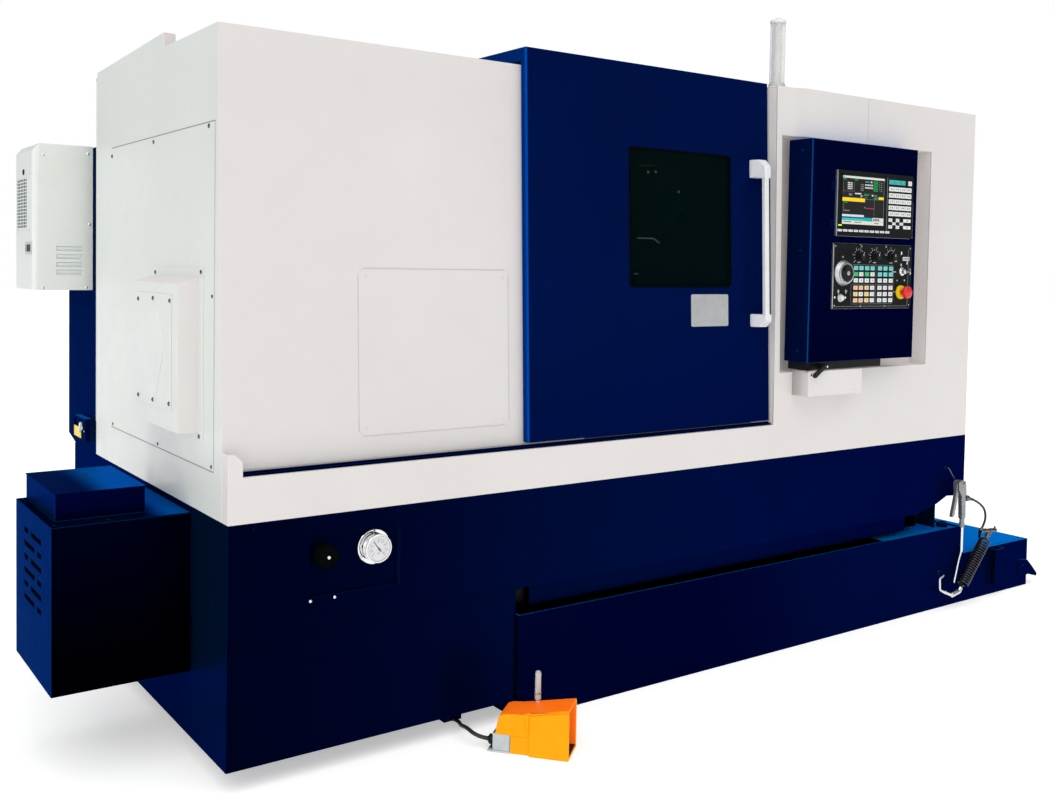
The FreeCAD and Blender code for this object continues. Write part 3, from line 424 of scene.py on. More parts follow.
def refine(node, mat, width=1.4, segs=2, angle=30.0, name=None, pick=None, dissolve=True, wide=None):
    """A CAD node's shape again, with its edges rounded; pick gives other materials to some faces."""
    src = frame["nodes"][node]
    bm = bmesh.new()
    bm.from_mesh(src.data)
    bmesh.ops.remove_doubles(bm, verts=bm.verts, dist=1.5e-5)
    if dissolve:
        bmesh.ops.dissolve_limit(bm, angle_limit=math.radians(0.7), verts=bm.verts, edges=bm.edges,
                                 delimit={"NORMAL"})
    mats = mat if isinstance(mat, (list, tuple)) else [mat]
    for f in bm.faces:
        f.material_index = 0
        if pick is not None:
            c = f.calc_center_median()
            f.material_index = pick(Vector((c.x * 1000 + OX, c.y * 1000 + OY, c.z * 1000)), f.normal)
    if width > 0:
        mark_edges(bm, math.radians(angle))
        if wide is not None:
            test, share = wide
            lay = bm.edges.layers.float["bevel_weight_edge"]
            for e in bm.edges:
                if e[lay] > 0.5:
                    m_ = (e.verts[0].co + e.verts[1].co) / 2
                    d_ = e.verts[1].co - e.verts[0].co
                    if not test(Vector((m_.x * 1000 + OX, m_.y * 1000 + OY, m_.z * 1000)), d_.normalized()):
                        e[lay] = share
    me = bpy.data.meshes.new(name or node + "_finish")
    bm.to_mesh(me)
    bm.free()
    for a in ("custom_normal",):
        if a in me.attributes:
            me.attributes.remove(me.attributes[a])
    for k in mats:
        me.materials.append(M[k])
    ob = bpy.data.objects.new(name or node + "_finish", me)
    bpy.context.scene.collection.objects.link(ob)
    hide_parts(node)
    finish_object(ob, BODY[node], angle)
    if width > 0:
        bv = ob.modifiers.new("edges", "BEVEL")
        bv.width = width / 1000.0
        bv.segments = segs
        bv.limit_method = "WEIGHT"
        bv.use_clamp_overlap = False
        wn = ob.modifiers.new("normals", "WEIGHTED_NORMAL")
        wn.keep_sharp = False
        wn.mode = "FACE_AREA"
    return ob


class Piece:
    """One object made of many small solids, in the working frame (mm)."""

    def __init__(self, name, body, slot=None):
        self.name, self.body, self.slot = name, body, slot
        self.bm = bmesh.new()
        self.mats = []

    def _mi(self, mat):
        if mat not in self.mats:
            self.mats.append(mat)
        return self.mats.index(mat)

    def _take(self, b, mat, bev=0.0, segs=2, xf=None):
        if bev > 0:
            bmesh.ops.bevel(b, geom=[e for e in b.edges if e.calc_face_angle(0.0) > 0.5], offset=bev,
                            segments=segs, affect="EDGES", profile=0.5, clamp_overlap=True)
        if xf is not None:
            b.transform(xf)
        i = self._mi(mat)
        for f in b.faces:
            f.material_index = i
        tmp = bpy.data.meshes.new("tmp")
        b.to_mesh(tmp)
        b.free()
        self.bm.from_mesh(tmp)
        bpy.data.meshes.remove(tmp)

    def box(self, x0, x1, y0, y1, z0, z1, mat, bev=0.0, segs=2, xf=None):
        b = bmesh.new()
        v = [b.verts.new((x, y, z)) for x in (x0, x1) for y in (y0, y1) for z in (z0, z1)]
        for q in ((0, 1, 3, 2), (4, 6, 7, 5), (0, 4, 5, 1), (2, 3, 7, 6), (0, 2, 6, 4), (1, 5, 7, 3)):
            b.faces.new([v[k] for k in q])
        bmesh.ops.recalc_face_normals(b, faces=b.faces)
        self._take(b, mat, bev, segs, xf)

    def prism(self, axis, pts, a, c, mat, bev=0.0, segs=2, xf=None):
        b = bmesh.new()

        def at(u, w, t):
            return {"x": (t, u, w), "y": (u, t, w), "z": (u, w, t)}[axis]
        lo = [b.verts.new(at(u, w, a)) for u, w in pts]
        hi = [b.verts.new(at(u, w, c)) for u, w in pts]
        n = len(pts)
        b.faces.new(lo)
        b.faces.new(hi[::-1])
        for k in range(n):
            b.faces.new((lo[k], lo[(k + 1) % n], hi[(k + 1) % n], hi[k]))
        bmesh.ops.recalc_face_normals(b, faces=b.faces)
        self._take(b, mat, bev, segs, xf)

    def lathe(self, origin, direction, prof, mat, n=40, xf=None, squash=None):
        """prof: (distance along the direction, radius) pairs; radius 0 closes the end."""
        b = bmesh.new()
        d = Vector(direction).normalized()
        u = d.orthogonal().normalized()
        w = d.cross(u)
        o = Vector(origin)
        rings = []
        for t, r in prof:
            if r <= 1e-6:
                rings.append([b.verts.new(o + d * t)])
            else:
                rings.append([b.verts.new(o + d * t + u * (r * math.cos(2 * math.pi * k / n)) +
                                          w * (r * math.sin(2 * math.pi * k / n))) for k in range(n)])
        for r0, r1 in zip(rings[:-1], rings[1:]):
            for k in range(n):
                k1 = (k + 1) % n
                if len(r0) == 1 and len(r1) == 1:
                    continue
                if len(r0) == 1:
                    b.faces.new((r0[0], r1[k], r1[k1]))
                elif len(r1) == 1:
                    b.faces.new((r0[k], r0[k1], r1[0]))
                else:
                    b.faces.new((r0[k], r0[k1], r1[k1], r1[k]))
        for ring in (rings[0], rings[-1]):
            if len(ring) > 1 and prof[0] != prof[-1]:
                try:
                    b.faces.new(ring)
                except ValueError:
                    pass
        if prof[0] == prof[-1] and len(rings[0]) > 1:
            bmesh.ops.remove_doubles(b, verts=b.verts, dist=1e-5)
        bmesh.ops.recalc_face_normals(b, faces=b.faces)
        self._take(b, mat, 0.0, 2, xf)

    def cyl(self, axis, a, c, c1, c2, r, mat, n=32, ch=0.0, xf=None):
        d = {"x": (1, 0, 0), "y": (0, 1, 0), "z": (0, 0, 1)}[axis]
        o = {"x": (a, c1, c2), "y": (c1, a, c2), "z": (c1, c2, a)}[axis]
        h = c - a
        if ch > 0:
            prof = [(0, 0), (0, r - ch), (ch * 0.3, r - ch * 0.3), (ch, r), (h - ch, r), (h - ch * 0.3, r - ch * 0.3),
                    (h, r - ch), (h, 0)]
        else:
            prof = [(0, 0), (0, r), (h, r), (h, 0)]
        self.lathe(o, d, prof, mat, n, xf)

    def sweep(self, pts, r, mat, n=12, close=False):
        """Round bar along points."""
        b = bmesh.new()
        P = [Vector(p) for p in pts]
        prev = None
        rings = []
        for i, p in enumerate(P):
            t = (P[min(i + 1, len(P) - 1)] - P[max(i - 1, 0)]).normalized()
            if prev is None:
                u = t.orthogonal().normalized()
            else:
                u = (prev - t * prev.dot(t)).normalized()
            prev = u
            w = t.cross(u)
            rings.append([b.verts.new(p + u * (r * math.cos(2 * math.pi * k / n)) + w * (r * math.sin(2 * math.pi * k / n)))
                          for k in range(n)])
        for r0, r1 in zip(rings[:-1], rings[1:]):
            for k in range(n):
                b.faces.new((r0[k], r0[(k + 1) % n], r1[(k + 1) % n], r1[k]))
        b.faces.new(rings[0])
        b.faces.new(rings[-1])
        bmesh.ops.recalc_face_normals(b, faces=b.faces)
        self._take(b, mat)

    def done(self, angle=32.0, weighted=True, replaces=()):
        self.bm.transform(Matrix.Translation((-OX / 1000.0, -OY / 1000.0, 0)) @ Matrix.Scale(0.001, 4))
        me = bpy.data.meshes.new(self.name)
        self.bm.to_mesh(me)
        self.bm.free()
        for k in self.mats:
            me.materials.append(M[k])
        ob = bpy.data.objects.new(self.name, me)
        bpy.context.scene.collection.objects.link(ob)
        if replaces:
            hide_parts(*replaces)
        finish_object(ob, self.body, angle)
        if weighted:
            wn = ob.modifiers.new("normals", "WEIGHTED_NORMAL")
            wn.keep_sharp = True
        return ob


def rrect(u0, u1, v0, v1, r, n=5):
    out = []
    for cu, cv, a0 in ((u1 - r, v1 - r, 0), (u0 + r, v1 - r, 90), (u0 + r, v0 + r, 180), (u1 - r, v0 + r, 270)):
        for k in range(n):
            a = math.radians(a0 + 90.0 * k / (n - 1))
            out.append((cu + r * math.cos(a), cv + r * math.sin(a)))
    return out


def screw(p, x, y, z, d, r=4.2, h=2.2, mat="steel"):
    """Button-head screw with a socket, standing on a surface, d pointing out of it."""
    s = r * 0.42
    p.lathe((x, y, z), d, [(-0.2, r), (0.0, r), (h * 0.35, r * 0.97), (h * 0.8, r * 0.72), (h, r * 0.5), (h, s),
                           (h * 0.35, s * 0.95), (h * 0.3, 0)], mat, 14)


def ycov(z, y0=40.0):
    return y0 + 0.04 * (z - 718.0)


# ---------------------------------------------------------------- cords ----


def nurbs(name, pts, r, mat, body):
    cu = bpy.data.curves.new(name, "CURVE")
    cu.dimensions = "3D"
    sp = cu.splines.new("NURBS")
    sp.points.add(len(pts) - 1)
    for q, p in zip(sp.points, pts):
        v = W(*p)
        q.co = (v.x, v.y, v.z, 1.0)
    sp.order_u = 3
    sp.use_endpoint_u = True
    sp.resolution_u = 12
    cu.bevel_depth = r / 1000.0
    cu.bevel_resolution = 5
    cu.use_fill_caps = True
    cu.materials.append(M[mat])
    ob = bpy.data.objects.new(name, cu)
    bpy.context.scene.collection.objects.link(ob)
    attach(ob, body)
    return ob


GY = -35.0
HOSE = [(2689.4, GY, 379.4), (2720.5, GY, 371.9), (2764.5, GY, 348.1), (2784.8, GY, 329.0), (2791.6, GY, 305.0),
        (2785.2, GY, 280.8), (2769.2, GY, 264.0)]
hose = nurbs("air_hose_line", HOSE, 4.0, "hose", "machine_frame")
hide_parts("air_hose")

CABLE = [(624.8, -92.9, 23.2), (615.4, -81.8, 23.2), (602.2, -59.8, 28.3), (600.2, -34.2, 33.9), (606.0, 6.0, 26.1),
         (620.2, 27.0, 15.8), (634.0, 62.1, 10.9), (634.5, 88.0, 6.6)]
cable = nurbs("foot_switch_lead", CABLE, 5.0, "cable", "machine_frame")
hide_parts("foot_switch_cable")

# coil hose: the helix follows its own axis line, read as points from the spline
C1, C2 = Vector((2800.0, GY, 227.0)), Vector((2654.0, GY, 72.0))
axis_line = nurbs("coil_axis", [tuple(C1), tuple(C1.lerp(C2, 0.34)), tuple(C1.lerp(C2, 0.67)), tuple(C2)], 0.0, "hose",
                  "machine_frame")
axis_line.data.use_fill_caps = False
bpy.context.view_layer.update()
axis_mesh = bpy.data.meshes.new_from_object(axis_line)
axis_pts = [v.co.copy() for v in axis_mesh.vertices]
bpy.data.meshes.remove(axis_mesh)
bpy.data.objects.remove(axis_line)
acc = [0.0]
for p, q in zip(axis_pts[:-1], axis_pts[1:]):
    acc.append(acc[-1] + (q - p).length)
AX_LEN = acc[-1]


def on_axis(s):
    for k in range(len(acc) - 1):
        if s <= acc[k + 1] or k == len(acc) - 2:
            f = (s - acc[k]) / max(1e-9, acc[k + 1] - acc[k])
            return axis_pts[k].lerp(axis_pts[k + 1], f), (axis_pts[k + 1] - axis_pts[k]).normalized()


TURNS, WIRE = 21.0, 0.0031
R_H = 0.022 - WIRE - 0.0002
helix = []
STEPS = 20
total = int(TURNS * STEPS)
lead = 0.006
t0 = on_axis(0.0)[1]
eu = Vector((0, -1, 0))
ev = t0.cross(eu).normalized()
for k in range(total + 1):
    f = k / total
    a = 2 * math.pi * TURNS * f
    s = lead + (AX_LEN - 2 * lead) * f
    grow = min(1.0, (k / (STEPS * 0.7)), ((total - k) / (STEPS * 0.7)))
    rr = R_H * (0.25 + 0.75 * grow)
    p, t = on_axis(s)
    helix.append(p + eu * (rr * math.cos(a)) + ev * (rr * math.sin(a)))
start_p, end_p = on_axis(0.0)[0], on_axis(AX_LEN)[0]
helix = [start_p] + helix + [end_p]
cu = bpy.data.curves.new("coil_hose_line", "CURVE")
cu.dimensions = "3D"
sp = cu.splines.new("NURBS")
sp.points.add(len(helix) - 1)
for q, p in zip(sp.points, helix):
    q.co = (p.x, p.y, p.z, 1.0)
sp.order_u = 3
sp.use_endpoint_u = True
sp.resolution_u = 2
cu.bevel_depth = WIRE
cu.bevel_resolution = 3
cu.use_fill_caps = True
cu.materials.append(M["hose"])
coil = bpy.data.objects.new("coil_hose_line", cu)
bpy.context.scene.collection.objects.link(coil)
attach(coil, "machine_frame")
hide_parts("coil_hose")

# -------------------------------------------------- sheet-metal covers -----
ROOT = "machine_frame"


# faces that look left (-X) take the white's shaded side copy: painted side shade
def side_of(c, n):
    return 1 if n.x < -0.7 else 0


refine("base_skirt", "blue_base", 1.4,
       wide=(lambda q, d: not (600 < q.x < 672 and 85 < q.y < 156 and q.z < 45), 0.0))
refine("chip_tray", "blue_tray", 1.2)
refine("door_shell", "blue_door", 8.5, segs=5,
       wide=(lambda m, d: abs(d.z) > 0.99 and m.y < 60 and (abs(m.x - 803) < 0.5 or abs(m.x - 1703) < 0.5), 0.13))
refine("electrical_cabinet", ["blue_cab", "yellow"], 1.4,
       pick=lambda c, n: 1 if (-22.6 < c.x < -20.4 and 1158 < c.y < 1239 and 636 < c.z < 671) else 0)
refine("side_tank", ["blue_tank", "blue_tank_top"], 1.2, pick=lambda c, n: 1 if c.z > 589 else 0)
refine("console_box", "blue_console", 7.0, segs=5,
       wide=(lambda m, d: abs(d.z) > 0.99 and m.y < -50 and (abs(m.x - 1785) < 0.5 or abs(m.x - 2303) < 0.5), 0.19))
refine("rear_cover", "blue", 1.3)
refine("door_rail", "blue_base", 0.6)
refine("left_cover", ["white", "white_side"], 1.5, pick=side_of)
refine("service_panel", "white", 0.6)
refine("side_panel", "white_side", 0.7)
refine("cylinder_cover", ["white", "white_side"], 0.8, pick=side_of)
refine("cylinder_cover_plate", "white_side", 0.8)
refine("front_cover", "white", 1.5)
refine("roof_cover", "white", 1.3)
refine("splash_guard", "guard", 1.0)
for node, mat, w in (("bed_casting", "casting_dark", 2.5), ("headstock", "casting", 2.5), ("carriage", "casting", 2.0),
                     ("cross_slide", "casting", 2.0), ("tailstock_body", "casting", 2.5), ("levelling_feet", "zinc", 0.8),
                     ("spindle", "steel", 0.8), ("chuck_body", "steel", 1.2), ("chuck_jaw_1", "steel", 0.8),
                     ("chuck_jaw_2", "steel", 0.8), ("chuck_jaw_3", "steel", 0.8), ("guide_rails", "steel", 1.0),
                     ("turret_disc", "steel", 1.2), ("tool_holders", "steel", 0.8), ("tailstock_quill", "steel", 0.8),
                     ("motor_pulley", "steel", 0.8), ("spindle_motor", "motor", 2.0), ("drive_belt", "belt", 0.6),
                     ("console_mount", "satin", 1.2), ("foot_pedal", "satin", 1.0)):
    refine(node, mat, w, segs=2)

# ------------------------------------------------------- interior extras ---
p = Piece("interior_fittings", ROOT, "ground_steel")
Yw = 999.6
# glowing lines on the guard's rear wall: painted highlights of its fold edges
for a, b in (((2013, 1290), (2099, 1291)), ((2099, 1291), (2284, 1174)), ((2284, 1174), (2481, 1175))):
    p.sweep([(a[0], Yw - 4, a[1]), (b[0], Yw - 4, b[1])], 2.4, "painted_highlight_line", 10)
p.sweep([(2005, Yw - 3, 1573), (2096, Yw - 3, 1576)], 1.8, "grey_paint_and_shade", 8)
p.sweep([(2002, Yw - 3, 1151), (2041, Yw - 3, 1151)], 2.2, "painted_highlight_line", 8)
p.sweep([(2133, Yw - 3, 1150), (2217, Yw - 3, 1150)], 1.6, "grey_paint_and_shade", 8)
ring = [(2124 + 11 * math.cos(a * math.pi / 12), Yw - 4, 1204 + 11 * math.sin(a * math.pi / 12)) for a in range(25)]
p.sweep(ring, 2.2, "painted_highlight_line", 8)
# glowing screw heads: painted highlights
for x, z in ((2065, 1550), (2104, 1553), (2229, 1481), (2370, 1407), (2326, 1184), (2280, 1152), (700, 1600),
             (1100, 1600), (1500, 1600), (1500, 1120), (1100, 1120), (700, 1120)):
    screw(p, x, Yw, z, (0, -1, 0), 6.0, 3.0, "painted_highlight_line")
# flanged seams of the guard and way covers over the rails
for x in (1250.0, 1880.0):
    p.box(x - 1.2, x + 1.2, 996.5, 1000.0, 1066, 1646, "guard", 0.5)
p.done()


# chuck details: jaw screws, front face groove and body rings
def polar(x, r, a):
    return (x, 345 + r * math.cos(a), 965 + r * math.sin(a))


p = Piece("chuck_details", "spindle_unit", "ground_steel")
for x in (650, 722):
    p.lathe((x, 345, 965), (1, 0, 0), [(0, 104.5), (0.0, 105.3), (1.6, 105.3), (1.6, 104.5), (0, 104.5)], "steel", 96)
for k in range(6):
    a = math.radians(30 + 60 * k)
    c = polar(729.6, 82, a)
    screw(p, *c, (1, 0, 0), 8.0, 0.9, "zinc")
p.lathe((730, 345, 965), (1, 0, 0), [(0, 46), (1.2, 46), (1.2, 34), (0, 34)], "steel", 64)
p.done()
for k in range(3):
    p = Piece("jaw_%d_screws" % (k + 1), "jaw_%d" % (k + 1), "ground_steel")
    a = math.radians(90 + 120 * k)
    for r in (70, 86):
        c = polar(767.6, r, a)
        screw(p, *c, (1, 0, 0), 5.5, 3.0, "zinc")
    p.done()

# turret: clamp screws and index plate
TY, TZ = 649.06, 1269.06
p = Piece("turret_details", "turret_unit", "ground_steel")
p.lathe((1250, TY, TZ), (-1, 0, 0), [(-0.5, 62), (3, 62), (5, 58), (5, 30), (8, 26), (8, 0)], "steel", 64)
for k in range(12):
    a = math.radians(30 * k)
    screw(p, 1250, TY + 135 * math.cos(a), TZ + 135 * math.sin(a), (-1, 0, 0), 7, 4, "zinc")
p.done()

# ------------------------------------------------ left end of the machine --
p = Piece("left_cover_fasteners", ROOT, "white_paint")
for y, z in ((124, 1474), (523, 1470), (898, 1460)):
    screw(p, -2, y, z, (-1, 0, 0), 5.6, 2.6, "gunmetal")
for y, z in ((886, 714), (482, 714), (98, 716), (98, 1096)):
    screw(p, -2, y, z, (-1, 0, 0), 4.6, 2.2, "gunmetal")
for y, z in ((499, 1144), (165, 1149), (173, 774), (505, 774)):
    screw(p, -4, y, z, (-1, 0, 0), 5.4, 2.6, "gunmetal")
for y, z in ((466, 1079), (225, 1082), (349, 1084), (349, 843), (463, 843), (228, 846)):
    screw(p, -55.5, y, z, (-1, 0, 0), 5.6, 2.8, "gunmetal")
# creased middle of the actuator cover plate
p.sweep([(-55.3, 324, 1074), (-55.9, 263, 980), (-55.9, 280, 945), (-55.3, 326, 850)], 1.3, "white_side", 8)
p.done()

p = Piece("cover_seams", ROOT, "white_paint")
# thin hemmed edge on the left cover's rear edge
p.box(-0.9, 0.4, 1066.5, 1070, 700, 1690, "white_side", 0.3)
# dark and grey strips round the bolted side panel: painted shade of the gap
p.box(-1.2, -0.2, 88.6, 906.6, 1482.2, 1484.2, "print_and_shade_grey", 0)
p.box(-1.2, -0.2, 88.6, 906.6, 703.6, 705.4, "print_and_shade_grey", 0)
p.box(-1.2, -0.2, 87.8, 89.6, 705.4, 1482.2, "grey_paint_and_shade", 0)
p.box(-1.2, -0.2, 905.4, 907.0, 705.4, 1482.2, "grey_paint_and_shade", 0)
# grey strips round the service panel: painted shade of the gap
for x0, x1 in ((333.2, 334.8), (761.2, 762.8)):
    p.prism("x", [(ycov(779) - 0.9, 779), (ycov(1150) - 0.9, 1150), (ycov(1150) + 0.3, 1150), (ycov(779) + 0.3, 779)], x0, x1, "grey_paint_and_shade")
for z in (765.4, 1162.6):
    p.box(347, 749, ycov(z) - 0.9, ycov(z) + 0.4, z, z + 1.6, "grey_paint_and_shade", 0)
p.done()

# service panel: quarter-turn locks
p = Piece("service_panel_locks", ROOT, "white_paint")
for x, z in ((353, 785), (743, 785), (353, 1144), (743, 1144)):
    screw(p, x, ycov(z) - 1.5, z, (0, -1, 0), 4.2, 1.6, "white")
p.done()

# ------------------------------------------------------------- side tank ---
p = Piece("side_tank_trim", ROOT, "blue_paint")
# dark plates behind the louvre slots: painted shade inside the tank
for r in range(6):
    zc = 534 - r * 31.8
    for y0, y1 in (((329, 441), (463, 508)) if r % 2 == 0 else ((329, 374), (396, 508))):
        p.box(-306.2, -304.6, y0 - 2.0, y1 + 2.0, zc - 8.0, zc + 8.0, "rubber_and_shade_black", 0)
for y0, y1 in ((235.6, 238.8), (594.2, 597.4)):
    p.box(-308.6, -2, y0, y1, 585.8, 588.6, "blue_tank", 0.8)
p.box(-308.8, -306.0, 236, 597, 585.8, 588.8, "blue_tank", 0.8)
p.box(-288.6, -86.4, 295.6, 593.4, 646.6, 649.6, "blue_tank_top", 1.0)
for y in (312, 577):
    for x in (-272, -103):
        screw(p, x, y, 649.4, (0, 0, 1), 3.6, 1.2, "blue_tank_top")
for x, y in ((-296, 262), (-296, 577), (-60, 262), (-60, 577), (-180, 262)):
    screw(p, x, y, 587, (0, 0, 1), 3.6, 1.2, "blue_tank")
p.done()

# -------------------------------------------------------- cabinet cooler ---
co = refine("cabinet_cooler", ["cooler", "cooler_edge"], 2.2, segs=3,
            pick=lambda c, n: 1 if n.y < -0.5 else 0)
p = Piece("cooler_details", ROOT, "cooler_paint")
XC = -165.0
# vent grid: black plates behind thin bars stand for the openings, painted shade of the cooler's inside
p.box(XC + 0.3, XC + 1.0, 1182, 1315, 1261, 1406, "black", 0)
# (rims and bars stay inside the machine's box, which the side tank sets further left)
ny, nz = 6, 15
for i in range(ny + 1):
    y = 1182 + (1315 - 1182) * i / ny
    p.box(XC - 2.2, XC + 1.2, y - 1.6, y + 1.6, 1260, 1407, "cooler", 0.5)
for i in range(nz + 1):
    z = 1261 + (1406 - 1261) * i / nz
    p.box(XC - 1.8, XC + 1.2, 1181, 1316, z - 1.5, z + 1.5, "cooler", 0.5)
# second dark plate behind the bars: painted shade of the openings
p.box(XC - 0.4, XC + 1.0, 1182, 1315, 1261, 1406, "rubber_and_shade_black", 0)
for y0, y1, z0, z1 in ((1147, 1150, 1250, 1417), (1328, 1331, 1250, 1417), (1147, 1331, 1250, 1253), (1147, 1331, 1414, 1417)):
    p.box(XC - 1.4, XC + 0.6, y0, y1, z0, z1, "cooler", 0.6)
p.box(XC - 2.6, XC + 0.6, 1124, 1203, 1184, 1220, "grey_paint_and_shade", 1.0)
p.box(XC - 3.0, XC - 2.2, 1132, 1180, 1192, 1213, "screen", 0.3)
for k in range(3):
    p.cyl("x", XC - 3.4, XC - 2.4, 1190, 1195 + 7 * k, 2.0, "black", 16)
p.lathe((XC - 0.2, 1230, 1425), (-1, 0, 0), [(0, 9), (1.4, 9), (2.4, 7.5), (2.4, 4), (1.0, 3), (1.0, 0)], "black", 28)
for x, z in ((-14, 1481), (-10, 1275), (-138, 1089), (-18, 1089), (-138, 1470)):
    screw(p, x, 1110, z, (0, -1, 0), 4.2, 2.2, "chrome")
for zc in (1202, 1179, 1156, 1134):
    p.box(-99.4, -30.6, 1113.4, 1114.4, zc - 5.4, zc + 5.4, "cooler", 0)
    p.prism("x", [(1110.2, zc + 5.6), (1111.6, zc + 5.6), (1113.2, zc - 1.6), (1111.8, zc - 1.6)], -99.6, -30.4, "cooler_edge")
# thin strip on top of the cooler
p.box(-150, -20, 1119, 1131, 1500.8, 1502.6, "cooler", 0.6)
p.done()

p = Piece("cabinet_details", ROOT, "blue_paint")
# rear door of the electrical cabinet: leaf, hinges, lock; and the switch box fasteners
p.box(24, 1076, 1394.4, 1395.8, 640, 1482, "blue_cab", 0.5)
for z in (720, 1050, 1400):
    p.cyl("z", z - 30, z + 30, 27, 1391.6, 4.2, "zinc", 20, 0.8)
for z in (820, 1300):
    p.cyl("y", 1390, 1395.8, 1046, z, 14, "zinc", 32, 1.0)
    p.box(1044.6, 1047.4, 1393, 1395.9, z - 8, z + 8, "black", 0.2)
screw(p, -18.6, 1129.5, 662, (-1, 0, 0), 3.0, 2.4, "chrome")
for y, z in ((1132, 640), (1132, 692), (1232, 640), (1232, 692)):
    screw(p, -20, y, z, (-1, 0, 0), 2.2, 1.2, "blue_cab")
p.done()

# main switch lever in key white: light grey plastic with a painted highlight in its colour
lev = refine("main_switch", "keywhite", 1.0, segs=3)

# ------------------------------------------------------------ base front ---
p = Piece("base_front_fittings", ROOT, "blue_paint")
# drain screws beside the gauge
screw(p, 195, 0, 406, (0, -1, 0), 4.0, 2.6, "chrome")
screw(p, 255, 0, 406.4, (0, -1, 0), 4.0, 2.6, "chrome")
# dark strip in the corner under the overhanging upper sheet: painted shade of the overhang
p.box(4, 770, 8.6, 11.9, 342.6, 345.9, "rubber_and_shade_black", 0.3)
for x in (60, 420, 780, 1140, 1500, 1860, 2220, 2580):
    screw(p, x, 0, 588, (0, -1, 0), 4.0, 2.2, "blue_base")
# folded edge strip along the gauge recess
p.box(190, 425, 3.0, 4.4, 410.4, 412.0, "blue_base", 0.4)
p.done()

# ------------------------------------------------------- pressure gauge ----
GX, GZ = 360.0, 508.0
p = Piece("gauge_case", ROOT, "chrome")
p.lathe((GX, 13, GZ), (0, -1, 0), [(0, 31), (0, 41.4), (0.8, 42), (2.6, 42), (3.6, 41), (4, 38.5), (4, 33), (6, 31.4),
                                   (8, 31), (24.5, 31), (25.2, 33.6), (26.2, 34), (28, 34), (29, 33), (29, 30.8),
                                   (27.6, 30.2), (26.0, 30.0)], "chrome", 72)
p.lathe((GX, 13, GZ), (0, -1, 0), [(26.0, 30.2), (26.0, 28.0), (25.6, 27.6)], "black", 64)
p.lathe((GX, -12.9, GZ), (0, -1, 0), [(0, 0), (0, 29.6), (0.5, 29.6), (0.5, 0)], "dial_painted_glow", 64)
for k in range(3):
    a = math.radians(90 + 120 * k)
    screw(p, GX + 37.5 * math.cos(a), 9, GZ + 37.5 * math.sin(a), (0, -1, 0), 2.8, 2.0, "steel")
Yd = -13.5
for k in range(33):
    a = math.radians(225 - 270 * k / 32)
    big = k % 4 == 0
    r0, r1, w = (20.0, 25.0, 0.45) if big else (22.5, 25.0, 0.22)
    ca, sa = math.cos(a), math.sin(a)
    q = [(GX + r0 * ca - w * sa, GZ + r0 * sa + w * ca), (GX + r1 * ca - w * sa, GZ + r1 * sa + w * ca),
         (GX + r1 * ca + w * sa, GZ + r1 * sa - w * ca), (GX + r0 * ca + w * sa, GZ + r0 * sa - w * ca)]
    p.prism("y", q, Yd - 0.05, Yd + 0.05, "black")
arc = [(GX + 19.2 * math.cos(math.radians(a)), Yd, GZ + 19.2 * math.sin(math.radians(a))) for a in range(225, -46, -6)]
p.sweep(arc, 0.16, "black", 6)
# needle, from its tail past the hub to the upper left
na = math.radians(128)
ca, sa = math.cos(na), math.sin(na)
nx, nz_ = GX + 1.0, GZ - 1.0


def nd(t, w):
    return (nx + t * ca - w * sa, nz_ + t * sa + w * ca)


p.prism("y", [nd(-8, 1.9), nd(0, 1.5), nd(23, 0.5), nd(23, -0.5), nd(0, -1.5), nd(-8, -1.9)], Yd - 0.9, Yd - 0.4, "black")
p.cyl("y", Yd - 1.3, Yd - 0.2, nx, nz_, 3.0, "black", 24, 0.3)


def digits(piece, text, x, y, z, size, mat, thick=0.12, rot=0.0):
    """Short plain digits, flat, facing the front (-Y)."""
    cu = bpy.data.curves.new("digits", "FONT")
    cu.body = text
    cu.size = size
    cu.align_x = "CENTER"
    cu.align_y = "CENTER"
    cu.extrude = thick / 2.0
    cu.resolution_u = 3
    ob = bpy.data.objects.new("digits", cu)
    bpy.context.scene.collection.objects.link(ob)
    bpy.context.view_layer.update()
    me = bpy.data.meshes.new_from_object(ob)
    b = bmesh.new()
    b.from_mesh(me)
    bpy.data.objects.remove(ob)
    bpy.data.curves.remove(cu)
    bpy.data.meshes.remove(me)
    b.transform(Matrix.Translation((x, y, z)) @ Matrix.Rotation(math.radians(90), 4, "X") @
                Matrix.Rotation(math.radians(rot), 4, "Z"))
    piece._take(b, mat)


for k, t in enumerate(("0", "2", "4", "6", "8", "10", "12", "14", "16")):
    a = math.radians(225 - 270 * k / 8)
    digits(p, t, GX + 16.0 * math.cos(a), Yd - 0.05, GZ + 16.0 * math.sin(a), 5.4, "black")
digits(p, "bar", GX, Yd - 0.05, GZ - 11.0, 5.0, "black")
p.lathe((GX, -15.0, GZ), (0, -1, 0), [(0, 30.0), (0.5, 29.6), (0.7, 20), (0.8, 0)], "clear", 64)
p.done(replaces=("pressure_gauge",))

# -------------------------------------------------------- regulator knob ---
p = Piece("regulator_grip", "regulator", "black_plastic")
p.lathe((230, 12.6, 506), (0, -1, 0), [(0, 0), (0, 24), (0.6, 25), (10.6, 25), (10.6, 27.0), (11.2, 27.4), (26.0, 27.4),
                                       (26.6, 27.0), (26.8, 24.9), (33.6, 24.4), (34.4, 23.4), (34.4, 12), (33.6, 11.4),
                                       (33.4, 4.2)], "rubber_and_shade_black", 72)
p.lathe((230, -20.8, 506), (0, -1, 0), [(0, 4.2), (0.9, 3.6), (1.1, 0)], "chrome", 24)
for k in range(36):
    a = 2 * math.pi * k / 36
    c, s_ = math.cos(a), math.sin(a)
    o = (230 + 26.7 * c, 506 + 26.7 * s_)
    p.sweep([(o[0], -12.8, o[1]), (o[0], 1.0, o[1])], 0.75, "rubber_and_shade_black", 8)
p.done(replaces=("regulator_knob",))

